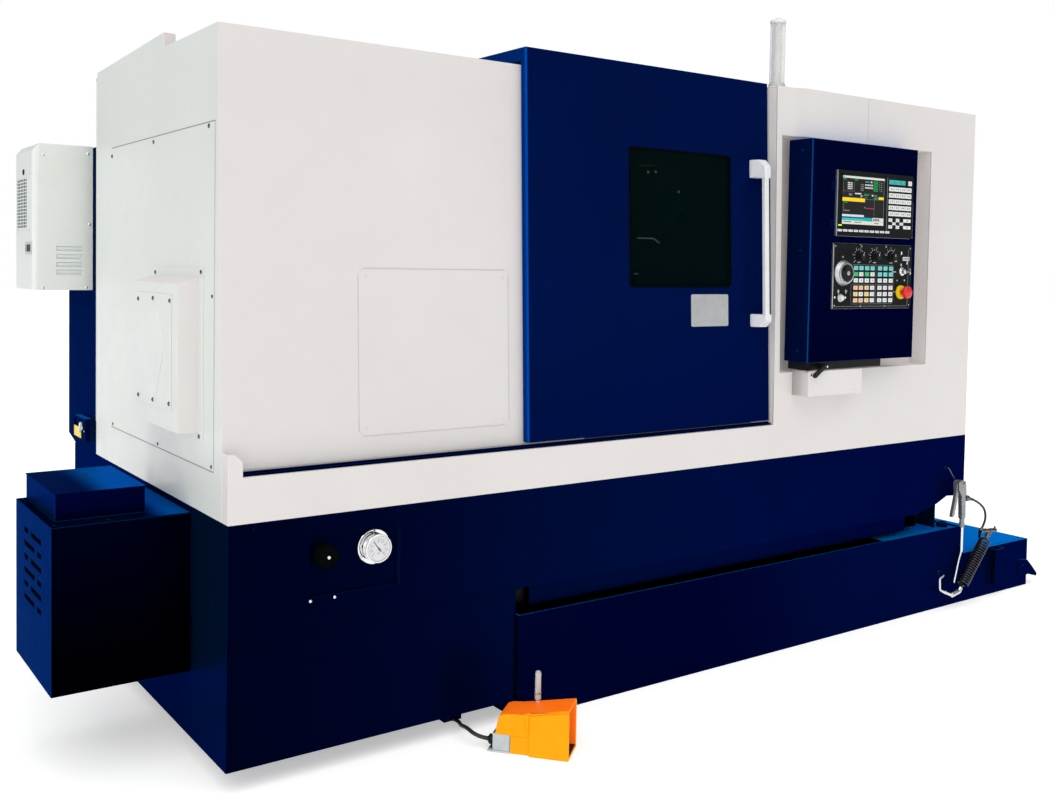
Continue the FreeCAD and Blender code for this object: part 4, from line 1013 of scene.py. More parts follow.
# ------------------------------------------------------------- chip tray ---
p = Piece("chip_tray_details", ROOT, "blue_paint")
# rolled rim along the open trough
p.sweep([(779, 1.6, 274.6), (2288, 1.6, 274.6)], 1.3, "blue_tray", 8)
# sight-glass cap on the tray ledge
p.lathe((2660, 53, 268), (0, 0, 1), [(0, 19), (1, 19.0), (1.4, 18.6), (11, 18.6), (14.6, 17.4), (16, 15), (16, 0)], "black", 40)
for k in range(20):
    a = 2 * math.pi * k / 20
    p.box(-0.6, 0.6, 18.3, 19.0, 2.2, 10.8, "black", 0.2,
          xf=Matrix.Translation((2660, 53, 268)) @ Matrix.Rotation(a, 4, "Z"))
# lid of the tank end with its screws
p.box(2704, 3118, 12, 428, 174.6, 175.9, "blue_tray", 0.5)
for x, y in ((2716, 26), (2716, 414), (3104, 26), (3104, 414), (2910, 26), (2910, 414)):
    screw(p, x, y, 175.8, (0, 0, 1), 4.0, 1.6, "blue_tray")
p.done()

# ---------------------------------------------------------------- lamp -----
LX, LY = 1752.0, 60.0
p = Piece("lamp_body", ROOT, "lamp_lens")
p.lathe((LX, LY, 1732), (0, 0, 1), [(0, 0), (0, 25.4), (0.8, 26), (9, 26), (11, 25), (14, 23.6), (14, 0)], "grey_paint_and_shade", 64)
p.lathe((LX, LY, 1746), (0, 0, 1), [(0, 12), (183, 12), (183, 0)], "lens_core", 48)
for k in range(18):
    a = 2 * math.pi * k / 18
    p.sweep([(LX + 12.6 * math.cos(a), LY + 12.6 * math.sin(a), 1747), (LX + 12.6 * math.cos(a), LY + 12.6 * math.sin(a), 1928)],
            1.3, "lens_core", 6)
for z in (1746, 1928):
    p.lathe((LX, LY, z - 1.2), (0, 0, 1), [(0, 13), (0, 22.4), (2.4, 22.4), (2.4, 13)], "grey_paint_and_shade", 56)
p.lathe((LX, LY, 1929), (0, 0, 1), [(0, 22), (0, 24.2), (0.6, 24.5), (7, 24.5), (9, 22.6), (9, 10), (14.4, 9.8), (16, 8.4), (16, 0)],
        "keywhite", 64)
# wiring channel up the rear left of the tube
p.box(LX - 22.3, LX - 20.3, LY - 3, LY + 3, 1747, 1928, "grey_paint_and_shade", 0.4)
p.done(replaces=("signal_lamp",))
p = Piece("lamp_tube", ROOT, "lamp_lens")
p.lathe((LX, LY, 1746), (0, 0, 1), [(0, 21.8), (0, 23), (183, 23), (183, 21.8)], "lens", 72)
p.done()

# ------------------------------------------------------------ door trim ----
DOORB = "door"


def on_door(z, off=0.0):
    return ycov(z, 12.0) + off


def dslab(p, pts, off, t, mat, bev=0.0):
    """Plate of outline (X, Z) on the leaning door plane; off to the rear of the skin's face."""
    b = bmesh.new()
    lo = [b.verts.new((x, on_door(z, off), z)) for x, z in pts]
    hi = [b.verts.new((x, on_door(z, off + t), z)) for x, z in pts]
    n = len(pts)
    b.faces.new(lo)
    b.faces.new(hi[::-1])
    for k in range(n):
        b.faces.new((lo[k], lo[(k + 1) % n], hi[(k + 1) % n], hi[k]))
    bmesh.ops.recalc_face_normals(b, faces=b.faces)
    p._take(b, mat, bev)


def dring(p, outer, inner, off, t, mat):
    """Frame between two outlines with the same number of points."""
    b = bmesh.new()
    n = len(outer)
    A = [b.verts.new((x, on_door(z, off), z)) for x, z in outer]
    B = [b.verts.new((x, on_door(z, off), z)) for x, z in inner]
    C = [b.verts.new((x, on_door(z, off + t), z)) for x, z in outer]
    D = [b.verts.new((x, on_door(z, off + t), z)) for x, z in inner]
    for k in range(n):
        j = (k + 1) % n
        b.faces.new((A[k], A[j], B[j], B[k]))
        b.faces.new((C[k], D[k], D[j], C[j]))
        b.faces.new((A[k], C[k], C[j], A[j]))
        b.faces.new((B[k], B[j], D[j], D[k]))
    bmesh.ops.recalc_face_normals(b, faces=b.faces)
    p._take(b, mat)


p = Piece("door_trim", DOORB, "blue_paint")
dring(p, rrect(1149, 1544, 1120, 1510, 10), rrect(1155, 1538, 1126, 1504, 7), -0.9, 2.6, "rubber_and_shade_black")
# screws that hold the glass clamp on the inside
for x in (1170, 1262, 1347, 1432, 1524):
    for z in (1114, 1516):
        screw(p, x, on_door(z, 10.2), z, (0, 1, 0), 5.0, 3.0, "zinc")
for z in (1190, 1315, 1440):
    for x in (1142, 1550):
        screw(p, x, on_door(z, 10.2), z, (0, 1, 0), 5.0, 3.0, "zinc")
# blank plate under the window
dslab(p, rrect(1381, 1530, 1008, 1101, 5), -1.0, 1.0, "plate", 0.0)
for x in (1388, 1523):
    for z in (1015, 1094):
        screw(p, x, on_door(z, -1.0), z, (0, -1, 0), 2.2, 0.9, "steel")
p.done()
gl = refine("door_window", "glass", 0.8)

# handle: powder-coated arms and grip, dark strip in the grip's inner side
refine("door_handle", "handle", 2.6, segs=4, angle=25)
p = Piece("handle_dark_strip", DOORB, "black_plastic")
b = bmesh.new()
H = 53.0


def dz(x0, x1, z0, z1, a, c):
    return [(x, on_door(z, o), z) for x in (x0, x1) for z, o in ((z0, a), (z0, c), (z1, a), (z1, c))]


for x0, x1, z0, z1, a, c in ((1649.6, 1655.5, 1043, 1448, -H - 0.5, -H + 13.4),):
    v = [b.verts.new(q) for q in dz(x0, x1, z0, z1, a, c)]
    for q in ((0, 1, 3, 2), (4, 6, 7, 5), (0, 4, 5, 1), (2, 3, 7, 6), (0, 2, 6, 4), (1, 5, 7, 3)):
        b.faces.new([v[k] for k in q])
bmesh.ops.recalc_face_normals(b, faces=b.faces)
p._take(b, "black", 0.8)
p.done()

# ------------------------------------------------------ pocket and front ---
p = Piece("front_cover_details", ROOT, "white_paint")
for z in (900, 1120, 1340, 1560):
    screw(p, 2458.6, 33, z, (-1, 0, 0), 4.0, 2.0, "white")
for x in (1820, 2010):
    screw(p, x, -65, 806, (0, -1, 0), 3.4, 1.8, "white")
p.done()

# ---------------------------------------------------------------- console --
CON = "console"
p = Piece("console_details", CON, "blue_paint")
# seam of the console's front lid and the screws on its sides
p.box(1784.4, 1785.6, -57, -54.6, 900, 1570, "rubber_and_shade_black", 0)
for z in (930, 1235, 1540):
    screw(p, 1785, -20, z, (-1, 0, 0), 4.0, 2.0, "blue")
for z0, z1 in ((1422, 1446), (1304, 1329)):
    p.box(1872, 1886, -64.5, -60, z0, z1, "blue", 1.2)
p.lathe((1805, -35, 865.6), (0, 0, 1), [(0, 0), (0, 12), (0.8, 13), (3.4, 13), (3.8, 15), (6.2, 15)], "chrome", 48)
p.done()
p = Piece("console_pivot", ROOT, "chrome")
p.cyl("y", -65.4, -60.0, 1800, 858, 4.0, "chrome", 24, 0.5)
p.done()

# screen unit
Y0 = -68.0
p = Piece("screen_frame", CON, "panel_black")
p.prism("y", rrect(1893, 2270, 1283.6, 1486.4, 7), Y0, -60.2, "panel", 0.9, 2)
p.prism("y", rrect(1892, 2271, 1283, 1487, 8), -62.6, -60.0, "alu", 0.5)
p.box(1891.9, 1896.2, -68.2, -60.4, 1285, 1485, "alu", 0.8)
p.box(2268.6, 2270.8, -67.6, -60.4, 1285, 1400, "alu", 0.5)
p.box(2134.5, 2136.5, Y0 - 0.15, Y0 + 0.4, 1306, 1474, "print_and_shade_grey", 0)
# bezel step round the display
dx0, dx1, dz0_, dz1_ = 1917, 2121, 1320, 1470
for a in ((dx0 - 6, dx0 - 0.6, dz0_ - 6, dz1_ + 6), (dx1 + 0.6, dx1 + 6, dz0_ - 6, dz1_ + 6),
          (dx0 - 6, dx1 + 6, dz0_ - 6, dz0_ - 0.6), (dx0 - 6, dx1 + 6, dz1_ + 0.6, dz1_ + 6)):
    p.box(a[0], a[1], Y0 - 0.8, Y0 + 0.4, a[2], a[3], "panel", 0.4)
p.box(dx0 - 0.8, dx1 + 0.8, Y0 - 0.2, Y0 + 0.3, dz0_ - 0.8, dz1_ + 0.8, "screen", 0)
for x, z in ((1899, 1478), (2262, 1478), (1899, 1291), (2262, 1291)):
    screw(p, x, Y0, z, (0, -1, 0), 2.4, 1.2, "satin")
p.done(replaces=("screen_unit",))

p = Piece("screen_picture", CON, "panel_black")


def bar(x0, x1, z0, z1, mat, lift=0.0):
    p.box(x0, x1, Y0 - 0.42 - lift, Y0 - 0.22, z0, z1, mat, 0)


bar(1918, 2120, 1463, 1469.6, "uw")
bar(1921, 1926, 1464.4, 1468.2, "ud", 0.1)
for x0, x1 in ((1919, 1933), (1974, 1990)):
    bar(x0, x1, 1457, 1461, "ug")
bar(1920, 1920.9, 1416, 1453, "ud")
bar(1922, 1972, 1422, 1422.8, "ud")
bar(1972, 1972.8, 1422, 1453, "ud")
for k in range(4):
    bar(1941, 1963, 1428.5 + 5.9 * k, 1432.4 + 5.9 * k, "uw")
    for j in range(3):
        bar(1946 + 6.2 * j, 1947.4 + 6.2 * j, 1428.2 + 5.9 * k, 1432.7 + 5.9 * k, "screen", 0.1)
for k in range(4):
    bar(2003, 2017, 1426 + 5.8 * k, 1429.6 + 5.8 * k, "ud")
    bar(2006, 2007, 1426 + 5.8 * k, 1429.6 + 5.8 * k, "screen", 0.1)
bar(2024, 2062, 1443.2, 1447.6, "uw")
bar(2024, 2062, 1434.4, 1438.8, "uw")
for j in range(5):
    bar(2029 + 6.6 * j, 2030.2 + 6.6 * j, 1434, 1448, "screen", 0.1)
bar(2025, 2044, 1453.4, 1457.0, "uc")
bar(2051, 2059, 1452.8, 1457.4, "uw")
for k in range(7):
    bar(2065 + (k % 2), 2087, 1427.5 + 4.7 * k, 1430.9 + 4.7 * k, "ug")
for k in range(5):
    bar(2092, 2096, 1432 + 6 * k, 1434.4 + 6 * k, "ud")
    bar(2101, 2108, 1428 + 6.2 * k, 1431 + 6.2 * k, "ud")
bar(1976, 2007, 1414.8, 1418.6, "uw")
bar(1947, 1962, 1409, 1416, "ud")
bar(2003, 2015, 1409.6, 1411.2, "uw")
bar(2005, 2007.4, 1404.6, 1409.6, "uw")
bar(2020, 2042, 1411.6, 1415.8, "ug")
bar(2028, 2036, 1405.2, 1408.2, "ug")
bar(2058, 2066, 1411.4, 1415.4, "uw")
bar(2072, 2084, 1411.4, 1416.0, "ud")
bar(2068, 2088, 1402.6, 1408.2, "ug")
bar(1917.6, 2025, 1391.4, 1402.8, "uy")
bar(2092, 2117, 1402, 1410.6, "uy")
bar(1921, 1942, 1386, 1389, "ug")
for z in (1380, 1374, 1368):
    bar(1920, 1926, z, z + 2.2, "ud")
bar(1922, 1952, 1361, 1364.4, "ud")
bar(2026, 2090, 1400.4, 1401.4, "ud")
bar(2070.6, 2071.6, 1349, 1400, "ud")
bar(2117.6, 2119.0, 1346, 1462, "ud")
bar(2020, 2020.8, 1402, 1420, "ud")
bar(2020, 2070, 1417.4, 1418.2, "ud")
bar(2031, 2071, 1371.4, 1374.0, "ur")
bar(2022, 2029, 1372.4, 1376.4, "ud")
bar(1917.8, 2022, 1344.4, 1351.0, "uw")
bar(1917.8, 2020, 1339.8, 1344.2, "ub")
bar(1917.8, 2062, 1333.0, 1339.6, "ul")
bar(2022, 2062, 1333.2, 1343.0, "uc", 0.1)
bar(2064, 2119, 1333, 1344, "uw")
bar(2068, 2090, 1335, 1341, "ud", 0.1)
bar(2092, 2097, 1334.6, 1341.4, "screen", 0.1)
bar(1917.8, 2119, 1321.0, 1332.4, "uw")
bar(1924, 1962, 1326.6, 1329.8, "ud", 0.1)
bar(1976, 2012, 1326.6, 1329.0, "ud", 0.1)
bar(2074, 2096, 1325.4, 1328.4, "ud", 0.1)
p.done(weighted=False)

p = Piece("screen_keys", CON, "panel_black")


def key(x0, x1, z0, z1, mat, marks=1, h=1.6, y=-68.0):
    p.box(x0, x1, y - h, y + 0.2, z0, z1, mat, 0.55)
    if marks:
        w, hh = (x1 - x0), (z1 - z0)
        cx, cz = (x0 + x1) / 2, (z0 + z1) / 2
        for m in range(marks):
            ox_ = (m - (marks - 1) / 2) * w * 0.34
            p.box(cx + ox_ - w * 0.09, cx + ox_ + w * 0.09, y - h - 0.08, y - h + 0.05, cz - hh * 0.2, cz + hh * 0.2,
                  "keymark", 0)


p.box(1901, 1917, -69.2, -67.9, 1314.6, 1318.6, "uled", 0.5)
for k in range(10):
    x = 1898 + 25.7 * k
    key(x, x + 20, 1297.4, 1304.2, "keywhite", 2)
for k in range(4):
    x = 2143 + 29.0 * k
    key(x, x + 27.6 - (3.2 if k == 2 else 0), 1454, 1468.6, "keyteal" if k < 3 else "keywhite", 1) if k < 3 else \
        key(2241, 2258.6, 1454, 1468.6, "keywhite", 1)
for r, (z0, z1) in enumerate(((1432.4, 1446.6), (1412.4, 1426.6), (1392.8, 1406.8), (1373.2, 1387.0), (1353.6, 1367.6))):
    for k in range(4):
        x = 2143.4 + 29.0 * k
        key(x, x + 27.2, z0, z1, "keywhite", 2)
for x0, x1, z0, z1 in ((2145, 2163, 1335, 1346), (2182, 2199, 1335, 1346), (2220, 2257.6, 1335, 1346), (2164, 2181, 1325, 1334),
                       (2201, 2219, 1325, 1334), (2144, 2163, 1313.6, 1324), (2182, 2199, 1313.6, 1324),
                       (2220, 2257.8, 1313.6, 1324)):
    key(x0, x1, z0, z1, "keywhite", 1)
p.done()

# machine panel
YP = -66.0
p = Piece("machine_panel_face", CON, "panel_black")
p.prism("y", rrect(1885, 2275, 1058.6, 1261.4, 6), YP, -60.2, "panel", 0.8, 2)
p.prism("y", rrect(1884, 2276, 1058, 1262, 6), -62.2, -60.0, "alu", 0.4)
p.box(1884, 1888.4, -66.3, -60.4, 1060, 1258, "alu", 0.8)
for x0, x1, z0, z1 in ((2255.2, 2256.6, 1065, 1248), (1892, 2256, 1065, 1066.2), (1971.6, 1972.6, 1077, 1134),
                       (2180.6, 2181.6, 1077, 1194), (1974, 2178, 1195.4, 1196.4), (1974, 2085, 1134.4, 1135.4),
                       (2095, 2178, 1134.4, 1135.4), (1974, 2178, 1072.6, 1073.6), (2092.4, 2093.4, 1077, 1194),
                       (2087.0, 2088.0, 1077, 1132)):
    p.box(x0, x1, YP - 0.14, YP + 0.3, z0, z1, "print_and_shade_grey", 0)
for x, z in ((1895, 1252), (2265, 1252), (1895, 1069), (2265, 1069), (2020, 1254), (2140, 1254), (2020, 1066), (2140, 1066)):
    screw(p, x, YP, z, (0, -1, 0), 2.3, 1.1, "steel")
# collars of the push buttons
ESX, KX, PBX = 2217.0, 2223.0, 1921.0
p.lathe((ESX, YP, 1110), (0, -1, 0), [(0, 21.4), (0.4, 22), (5.4, 22), (7.2, 21), (8, 18), (8, 14.6), (7.0, 13.6)], "yellow", 64)
p.lathe((ESX, YP - 6.6, 1110), (0, -1, 0), [(0, 14.2), (0.4, 8.4)], "black", 48)
p.lathe((KX, YP, 1177), (0, -1, 0), [(0, 13.4), (0.3, 14), (2.4, 14), (3.6, 13), (4, 11.6), (4, 8.2), (2, 8.1)], "chrome", 48)
p.lathe((PBX, YP, 1092), (0, -1, 0), [(0, 12.6), (0.3, 13), (2.2, 13), (3.4, 12.2), (4, 10.6), (3.6, 9.0), (0.4, 8.8)], "steel", 48)
# printed scale marks and short labels (plain bars and dots)
for i, (kx, kz) in enumerate(((2007, 1221), (2084, 1222), (2166, 1222))):
    n = 9 if i < 2 else 7
    for k in range(n):
        a = math.radians(215 - 190 * k / (n - 1)) if i < 2 else math.radians(165 - 110 * k / (n - 1))
        r0, r1 = (20.5, 24.5)
        w = 0.8
        ca, sa = math.cos(a), math.sin(a)
        q = [(kx + r0 * ca - w * sa, kz + r0 * sa + w * ca), (kx + r1 * ca - w * sa, kz + r1 * sa + w * ca),
             (kx + r1 * ca + w * sa, kz + r1 * sa - w * ca), (kx + r0 * ca + w * sa, kz + r0 * sa - w * ca)]
        p.prism("y", q, YP - 0.14, YP + 0.1, "print")
        if k % 2 == 0:
            digits(p, str((0, 2, 4, 6, 8)[k // 2] if i < 2 else (0, 1, 2, 3)[k // 2]), kx + 29.5 * ca, YP - 0.1,
                   kz + 29.5 * sa, 6.4, "print")
    p.box(kx - 8, kx + 8, YP - 0.14, YP + 0.1, 1203.0, 1204.6, "print", 0)
    p.box(kx - 5, kx + 5, YP - 0.14, YP + 0.1, 1200.4, 1201.6, "print_and_shade_grey", 0)
for x0, x1, z0, z1, m in ((1926, 1934, 1216, 1222, "print_and_shade_grey"), (2011, 2017, 1256, 1260, "print_and_shade_grey"),
                          (2138, 2144, 1256, 1260, "print_and_shade_grey"), (1907, 1918, 1112, 1114, "print"), (1911, 1914, 1105, 1118, "print"),
                          (1943, 1955, 1112, 1114, "print"), (1947, 1950, 1105, 1118, "print"), (2172, 2194, 1174.2, 1176.4, "print"),
                          (2180, 2198, 1109.4, 1112.6, "print_and_shade_grey"), (2217, 2223, 1231, 1241, "print"),
                          (2227, 2262, 1212, 1224, "print"), (2217, 2222, 1194, 1202, "print"), (2248, 2253, 1200, 1210, "print"),
                          (2199, 2203, 1146, 1150, "print"), (2236, 2241, 1146, 1151, "print")):
    p.box(x0, x1, YP - 0.14, YP + 0.2, z0, z1, m, 0)
for k in range(4):
    p.box(2231 + 8 * k, 2235 + 8 * k, YP - 0.2, YP + 0.1, 1215, 1221, "panel", 0)
p.prism("y", [(2182, 1207), (2200, 1207), (2191, 1219)], YP - 0.14, YP + 0.2, "print_and_shade_grey")
for x, z in ((1896, 1094), (1946, 1093)):
    p.lathe((x, YP, z), (0, -1, 0), [(0, 3.6), (1.0, 3.4), (1.6, 2.4), (1.8, 0)], "uw", 20)
# key grid
rows = ((1179, 1192), (1160, 1173), (1140.4, 1153.4), (1117.4, 1130.4), (1097.4, 1110.6), (1078, 1091))
cols = ((1983, 2003), (2009.4, 2029), (2037, 2057), (2064.4, 2084), (2101.4, 2121), (2129, 2148), (2157, 2176.4))
grid = ("CCCCCCC", "GWGWCCC", "WWWWWWW", "PPPWWWW", "SWSWWWW", "PPSWWWW")
names = {"C": "keycyan", "G": "keygreen", "W": "keywhite", "P": "keypeach", "S": "keysand"}
for (z0, z1), line in zip(rows, grid):
    for (x0, x1), ch in zip(cols, line):
        key(x0, x1, z0, z1, names[ch], 1, 1.7, YP)
p.done(replaces=("machine_panel",))

# pulse handwheel
HX, HZ = 1931.0, 1169.0
p = Piece("handwheel_dial", "mpg_wheel", "black_plastic")
p.lathe((HX, YP - 0.3, HZ), (0, -1, 0), [(0, 0), (0, 39.4), (0.6, 40), (2.4, 40), (3.4, 39.6), (9.6, 36.4), (13.0, 34.6), (13.8, 33.6),
                                         (13.8, 30)], "alu", 96)
p.lathe((HX, YP - 14.0, HZ), (0, -1, 0), [(0, 33.4), (2.6, 33.0), (3.4, 32.4), (3.6, 31.0), (3.6, 24.2)], "chrome", 96)
p.lathe((HX, YP - 17.6, HZ), (0, -1, 0), [(0, 31), (0.6, 24), (3.4, 23.8), (4.4, 22.8), (4.4, 0)], "black", 72)
for k in range(100):
    a = 2 * math.pi * k / 100
    r0, r1 = (27.0, 30.4) if k % 10 else (25.4, 30.4)
    w = 0.22
    ca, sa = math.cos(a), math.sin(a)
    q = [(HX + r0 * ca - w * sa, HZ + r0 * sa + w * ca), (HX + r1 * ca - w * sa, HZ + r1 * sa + w * ca),
         (HX + r1 * ca + w * sa, HZ + r1 * sa - w * ca), (HX + r0 * ca + w * sa, HZ + r0 * sa - w * ca)]
    p.prism("y", q, YP - 18.5, YP - 18.0, "print")
for k in range(48):
    a = 2 * math.pi * k / 48
    p.sweep([(HX + 39.6 * math.cos(a), YP - 0.6, HZ + 39.6 * math.sin(a)), (HX + 39.6 * math.cos(a), YP - 2.8, HZ + 39.6 * math.sin(a))],
            0.5, "alu", 6)
p.lathe((HX - 20, YP - 20, HZ + 15), (0, -1, 0), [(0, 4.4), (2, 4.4), (3, 6.2), (10, 7), (14, 6.6), (15.6, 5.0), (16, 0)], "black", 40)
p.cyl("y", YP - 23.6, YP - 21.6, HX, HZ, 7.0, "alu", 40, 0.6)
p.done(replaces=("handwheel",))

for i, (kx, kz) in enumerate(((2007, 1221), (2084, 1222), (2166, 1222))):
    p = Piece("feed_knob_%d_cap" % (i + 1), "knob_%d" % (i + 1), "black_plastic")
    p.lathe((kx, YP - 0.3, kz), (0, -1, 0), [(0, 0), (0, 12.8), (0.4, 13), (4, 13), (4.7, 12.2), (4.7, 10.4), (5.4, 10.5), (16.6, 10.3),
                                             (17.6, 9.4), (18, 8.0), (18, 0)], "black", 56)
    for k in range(24):
        a = 2 * math.pi * k / 24
        p.sweep([(kx + 10.3 * math.cos(a), YP - 6, kz + 10.3 * math.sin(a)), (kx + 10.1 * math.cos(a), YP - 16, kz + 10.1 * math.sin(a))],
                0.55, "black", 6)
    p.box(kx - 0.9, kx + 0.9, YP - 18.5, YP - 18.0, kz + 1.5, kz + 9.6, "print", 0.1)
    p.box(kx - 0.9, kx + 0.9, YP - 5.0, YP - 4.0, kz + 10.6, kz + 12.8, "print", 0.1)
    p.done(replaces=("feed_knob_%d" % (i + 1),))

p = Piece("stop_mushroom", "stop_head", "red_plastic")
p.lathe((ESX, -70.2, 1110), (0, -1, 0), [(1.7, 0), (1.7, 7.8), (15.0, 7.8), (17.8, 12), (17.8, 18.6), (18.6, 19.6), (20.4, 20), (25.0, 20), (28.6, 19.0),
                                         (31.0, 16.4), (32.4, 12), (32.8, 6), (32.8, 0)], "red", 72)
for k in range(3):
    a0 = math.radians(120 * k + 10)
    pts = [(ESX + 13.5 * math.cos(a0 + t * 0.09), -102.4, 1110 + 13.5 * math.sin(a0 + t * 0.09)) for t in range(9)]
    p.sweep(pts, 0.35, "red", 6)
p.done(replaces=("emergency_stop",))

p = Piece("key_and_lock", "key", "chrome")
p.lathe((KX, -70.3, 1177), (0, -1, 0), [(0, 0), (0, 7.8), (0.4, 8), (8.2, 8), (9.2, 7.6), (9.7, 6.6), (9.7, 0)], "chrome", 48)
p.box(KX - 1.1, KX + 1.1, -86, -79.6, 1173.4, 1180.6, "chrome", 0.4)
bow = [(a, b_) for a, b_ in rrect(-100, -84, 1166, 1188, 6, 5)]
p.prism("x", bow, KX - 1.4, KX + 1.4, "chrome", 0.5)
p.lathe((KX - 1.8, -95, 1183), (1, 0, 0), [(0, 2.2), (0, 3.6), (3.6, 3.6), (3.6, 2.2), (0, 2.2)], "steel", 24)
p.done(replaces=("key_switch",))

p = Piece("push_button_cap", "white_button", "white_plastic")
p.lathe((PBX, -65.6, 1092), (0, -1, 0), [(0, 0), (0, 8.5), (10.4, 8.5), (11.6, 7.9), (12.2, 6.4), (11.9, 0)], "uw", 48)
p.done(replaces=("push_button",))

p = Piece("clamp_handle", "console_clamp", "black_plastic")
p.lathe((1855, -50.5, 883), (0, -1, 0), [(0, 0), (0, 7.8), (18, 7.8), (19, 8), (28.4, 8), (29.4, 7.2), (29.4, 4), (28.6, 3.6), (28.6, 0)],
        "black", 40)
arm = [(1856, 876.5), (1848, 875.5), (1830, 865.5), (1808, 850.2), (1802, 849.8), (1797.6, 853.2), (1797.4, 858.6), (1800, 862.4),
       (1826, 878.0), (1843, 888.4), (1852, 890.6)]
p.prism("y", arm, -80, -71.2, "black", 2.0, 3)
p.cyl("y", -79.9, -79.0, 1855, 883, 3.4, "chrome", 20, 0.3)
p.done(replaces=("clamp_lever",))

# ---------------------------------------------------------------- air gun --
p = Piece("air_gun_casting", ROOT, "gun_alu")
head = [(2622, 452), (2630, 452.4), (2637, 450), (2645, 445), (2650, 438), (2653, 420), (2654, 396), (2632, 390), (2622, 402),
        (2622, 430)]
p.prism("y", head, GY - 12, GY + 12, "gun", 2.6, 3)
p.prism("y", [(2606, 446), (2622, 452), (2622, 404), (2608, 418)], GY + 8.2, GY + 12, "gun", 1.2)
p.prism("y", [(2606, 446), (2622, 452), (2622, 404), (2608, 418)], GY - 12, GY - 8.2, "gun", 1.2)
p.prism("y", [(2631, 402), (2654, 402), (2656.6, 314), (2636.4, 314)], GY - 9, GY + 9, "gun", 3.4, 3)
for z in (330, 344, 358, 372):
    p.prism("y", [(2636 - (z - 314) * 0.06, z), (2656.4 - (z - 314) * 0.03, z), (2656.4 - (z - 314) * 0.03, z + 2.4),
                  (2636 - (z - 314) * 0.06, z + 2.4)], GY - 9.5, GY + 9.5, "gun", 0.7)
p.lathe((2647, GY, 316), (0, 0, -1), [(0, 7.6), (2, 8.5), (14, 8.5), (16, 8.4), (16.4, 9.5), (31, 9.5), (32, 8.6), (32, 5.5)], "gun", 40)
for k in range(6):
    a = math.pi * k / 3
    p.box(-1.2, 1.2, 8.4, 9.6, -31, -17.4, "gun", 0.4, xf=Matrix.Translation((2647, GY, 316)) @ Matrix.Rotation(a, 4, "Z"))
p.lathe((2648, GY, 284.5), (0, 0, -1), [(0, 5.5), (86, 5.5), (88, 4.6), (88.4, 3.4)], "chrome", 32)
p.sweep([(2648, GY, 202), (2646, GY, 194), (2641.6, GY, 183), (2636, GY, 171), (2628, GY, 145.6), (2611, GY, 92.2)], 3.1, "chrome", 20)
h0, h1 = Vector((2689.4, GY, 379.4)), Vector((2720.5, GY, 371.9))
hd = (h1 - h0).normalized()
p.lathe(tuple(h0 - hd * 38), tuple(hd), [(0, 6.5), (7.6, 6.5), (8, 9.6), (9, 10.5), (25, 10.5), (26, 9.6), (26.4, 6.6), (34, 6.4), (37.6, 5.4),
                                          (38, 4.2)], "gunmetal", 36)
p.lathe(tuple(h0 - hd * 5), tuple(hd), [(0, 6.4), (7, 6.0), (17, 4.9), (26, 4.25), (26, 4.0)], "black", 32)
p.lathe((2632, GY - 12.4, 438), (0, 1, 0), [(0, 7.4), (0, 5.2), (24.8, 5.2), (24.8, 7.4), (24, 8.2), (0.8, 8.2), (0, 7.4)], "gun", 36)
p.done(replaces=("air_gun_body",))

p = Piece("air_gun_trigger_arm", "gun_trigger", "gun_alu")
p.prism("y", [(2605, 440), (2610, 441), (2614, 440), (2614.4, 420), (2613, 400), (2606, 374), (2597.6, 346), (2593, 331), (2588, 327),
              (2582, 326.4), (2580, 330), (2583, 341), (2592, 372), (2600, 404), (2603, 424)], GY - 6.4, GY + 6.4, "gun", 1.6, 3)
p.cyl("y", GY - 7.4, GY + 7.4, 2609, 433, 3.2, "steel", 24, 0.5)
p.done(replaces=("air_gun_lever",))

# air line: couplings at both ends of the coil, bracket, pipe to the base, hook
p = Piece("air_line_couplings", ROOT, "chrome")


def hexnut(o, d, t0, t1, r, mat="chrome"):
    """Hexagon along d between distances t0 and t1 from o."""
    p.lathe(tuple(o + d * t0), tuple(d), [(0, 0), (0, r * 0.92), (r * 0.1, r), (t1 - t0 - r * 0.1, r), (t1 - t0, r * 0.92), (t1 - t0, 0)],
            mat, 6)


a0, a1 = Vector((2761.5, GY, 256)), Vector((2858, GY, 247))
ad = (a1 - a0).normalized()
p.lathe(tuple(a0), tuple(ad), [(0, 0), (0, 7.0), (0.8, 8), (14, 8), (14.6, 6.6), (22, 6.6), (22.6, 8.0), (34, 8.0), (34.8, 7.0), (60, 7.0),
                               (60.6, 8.0), (78, 8.0), (79, 6.4), (96.4, 6.0), (96.9, 5.0), (96.9, 0)], "gunmetal", 40)
hexnut(a0, ad, 36, 46, 8.0, "gunmetal")
hexnut(a0, ad, 62, 74, 8.0, "gunmetal")
e0 = Vector((2769.2, GY, 264))
ed = (e0 - a0).normalized()
p.lathe(tuple(a0), tuple(ed), [(0, 0), (0, 6.4), (6, 6.4), (9, 6.4), (10.6, 5.6), (11.1, 4.1)], "gunmetal", 32)
cd = (C2 - C1).normalized()
p.lathe(tuple(C1 - cd * 30), tuple(cd), [(0, 0), (0, 7.4), (8, 7.4), (8.6, 9.0), (22, 9.0), (23, 7.8), (26, 6.6), (30, 5.2), (33, 3.4)],
        "gunmetal", 40)
hexnut(C1, cd, -21, -9, 9.0, "gunmetal")
p.box(2804, 2816, GY, -1, 245.2, 248.8, "blue", 0.8)
p.box(2804, 2816, -3, 0, 110, 248.8, "blue", 0.8)
for z in (126, 156):
    screw(p, 2810, -3, z, (0, -1, 0), 4.2, 2.4, "blue")
p.lathe((2851, GY, 247), (0, 0, 1), [(0, 4), (9, 4), (9.4, 3.4), (13, 3.4), (15, 2.4), (15, 0)], "gunmetal", 24)
le = C2 + cd * 20
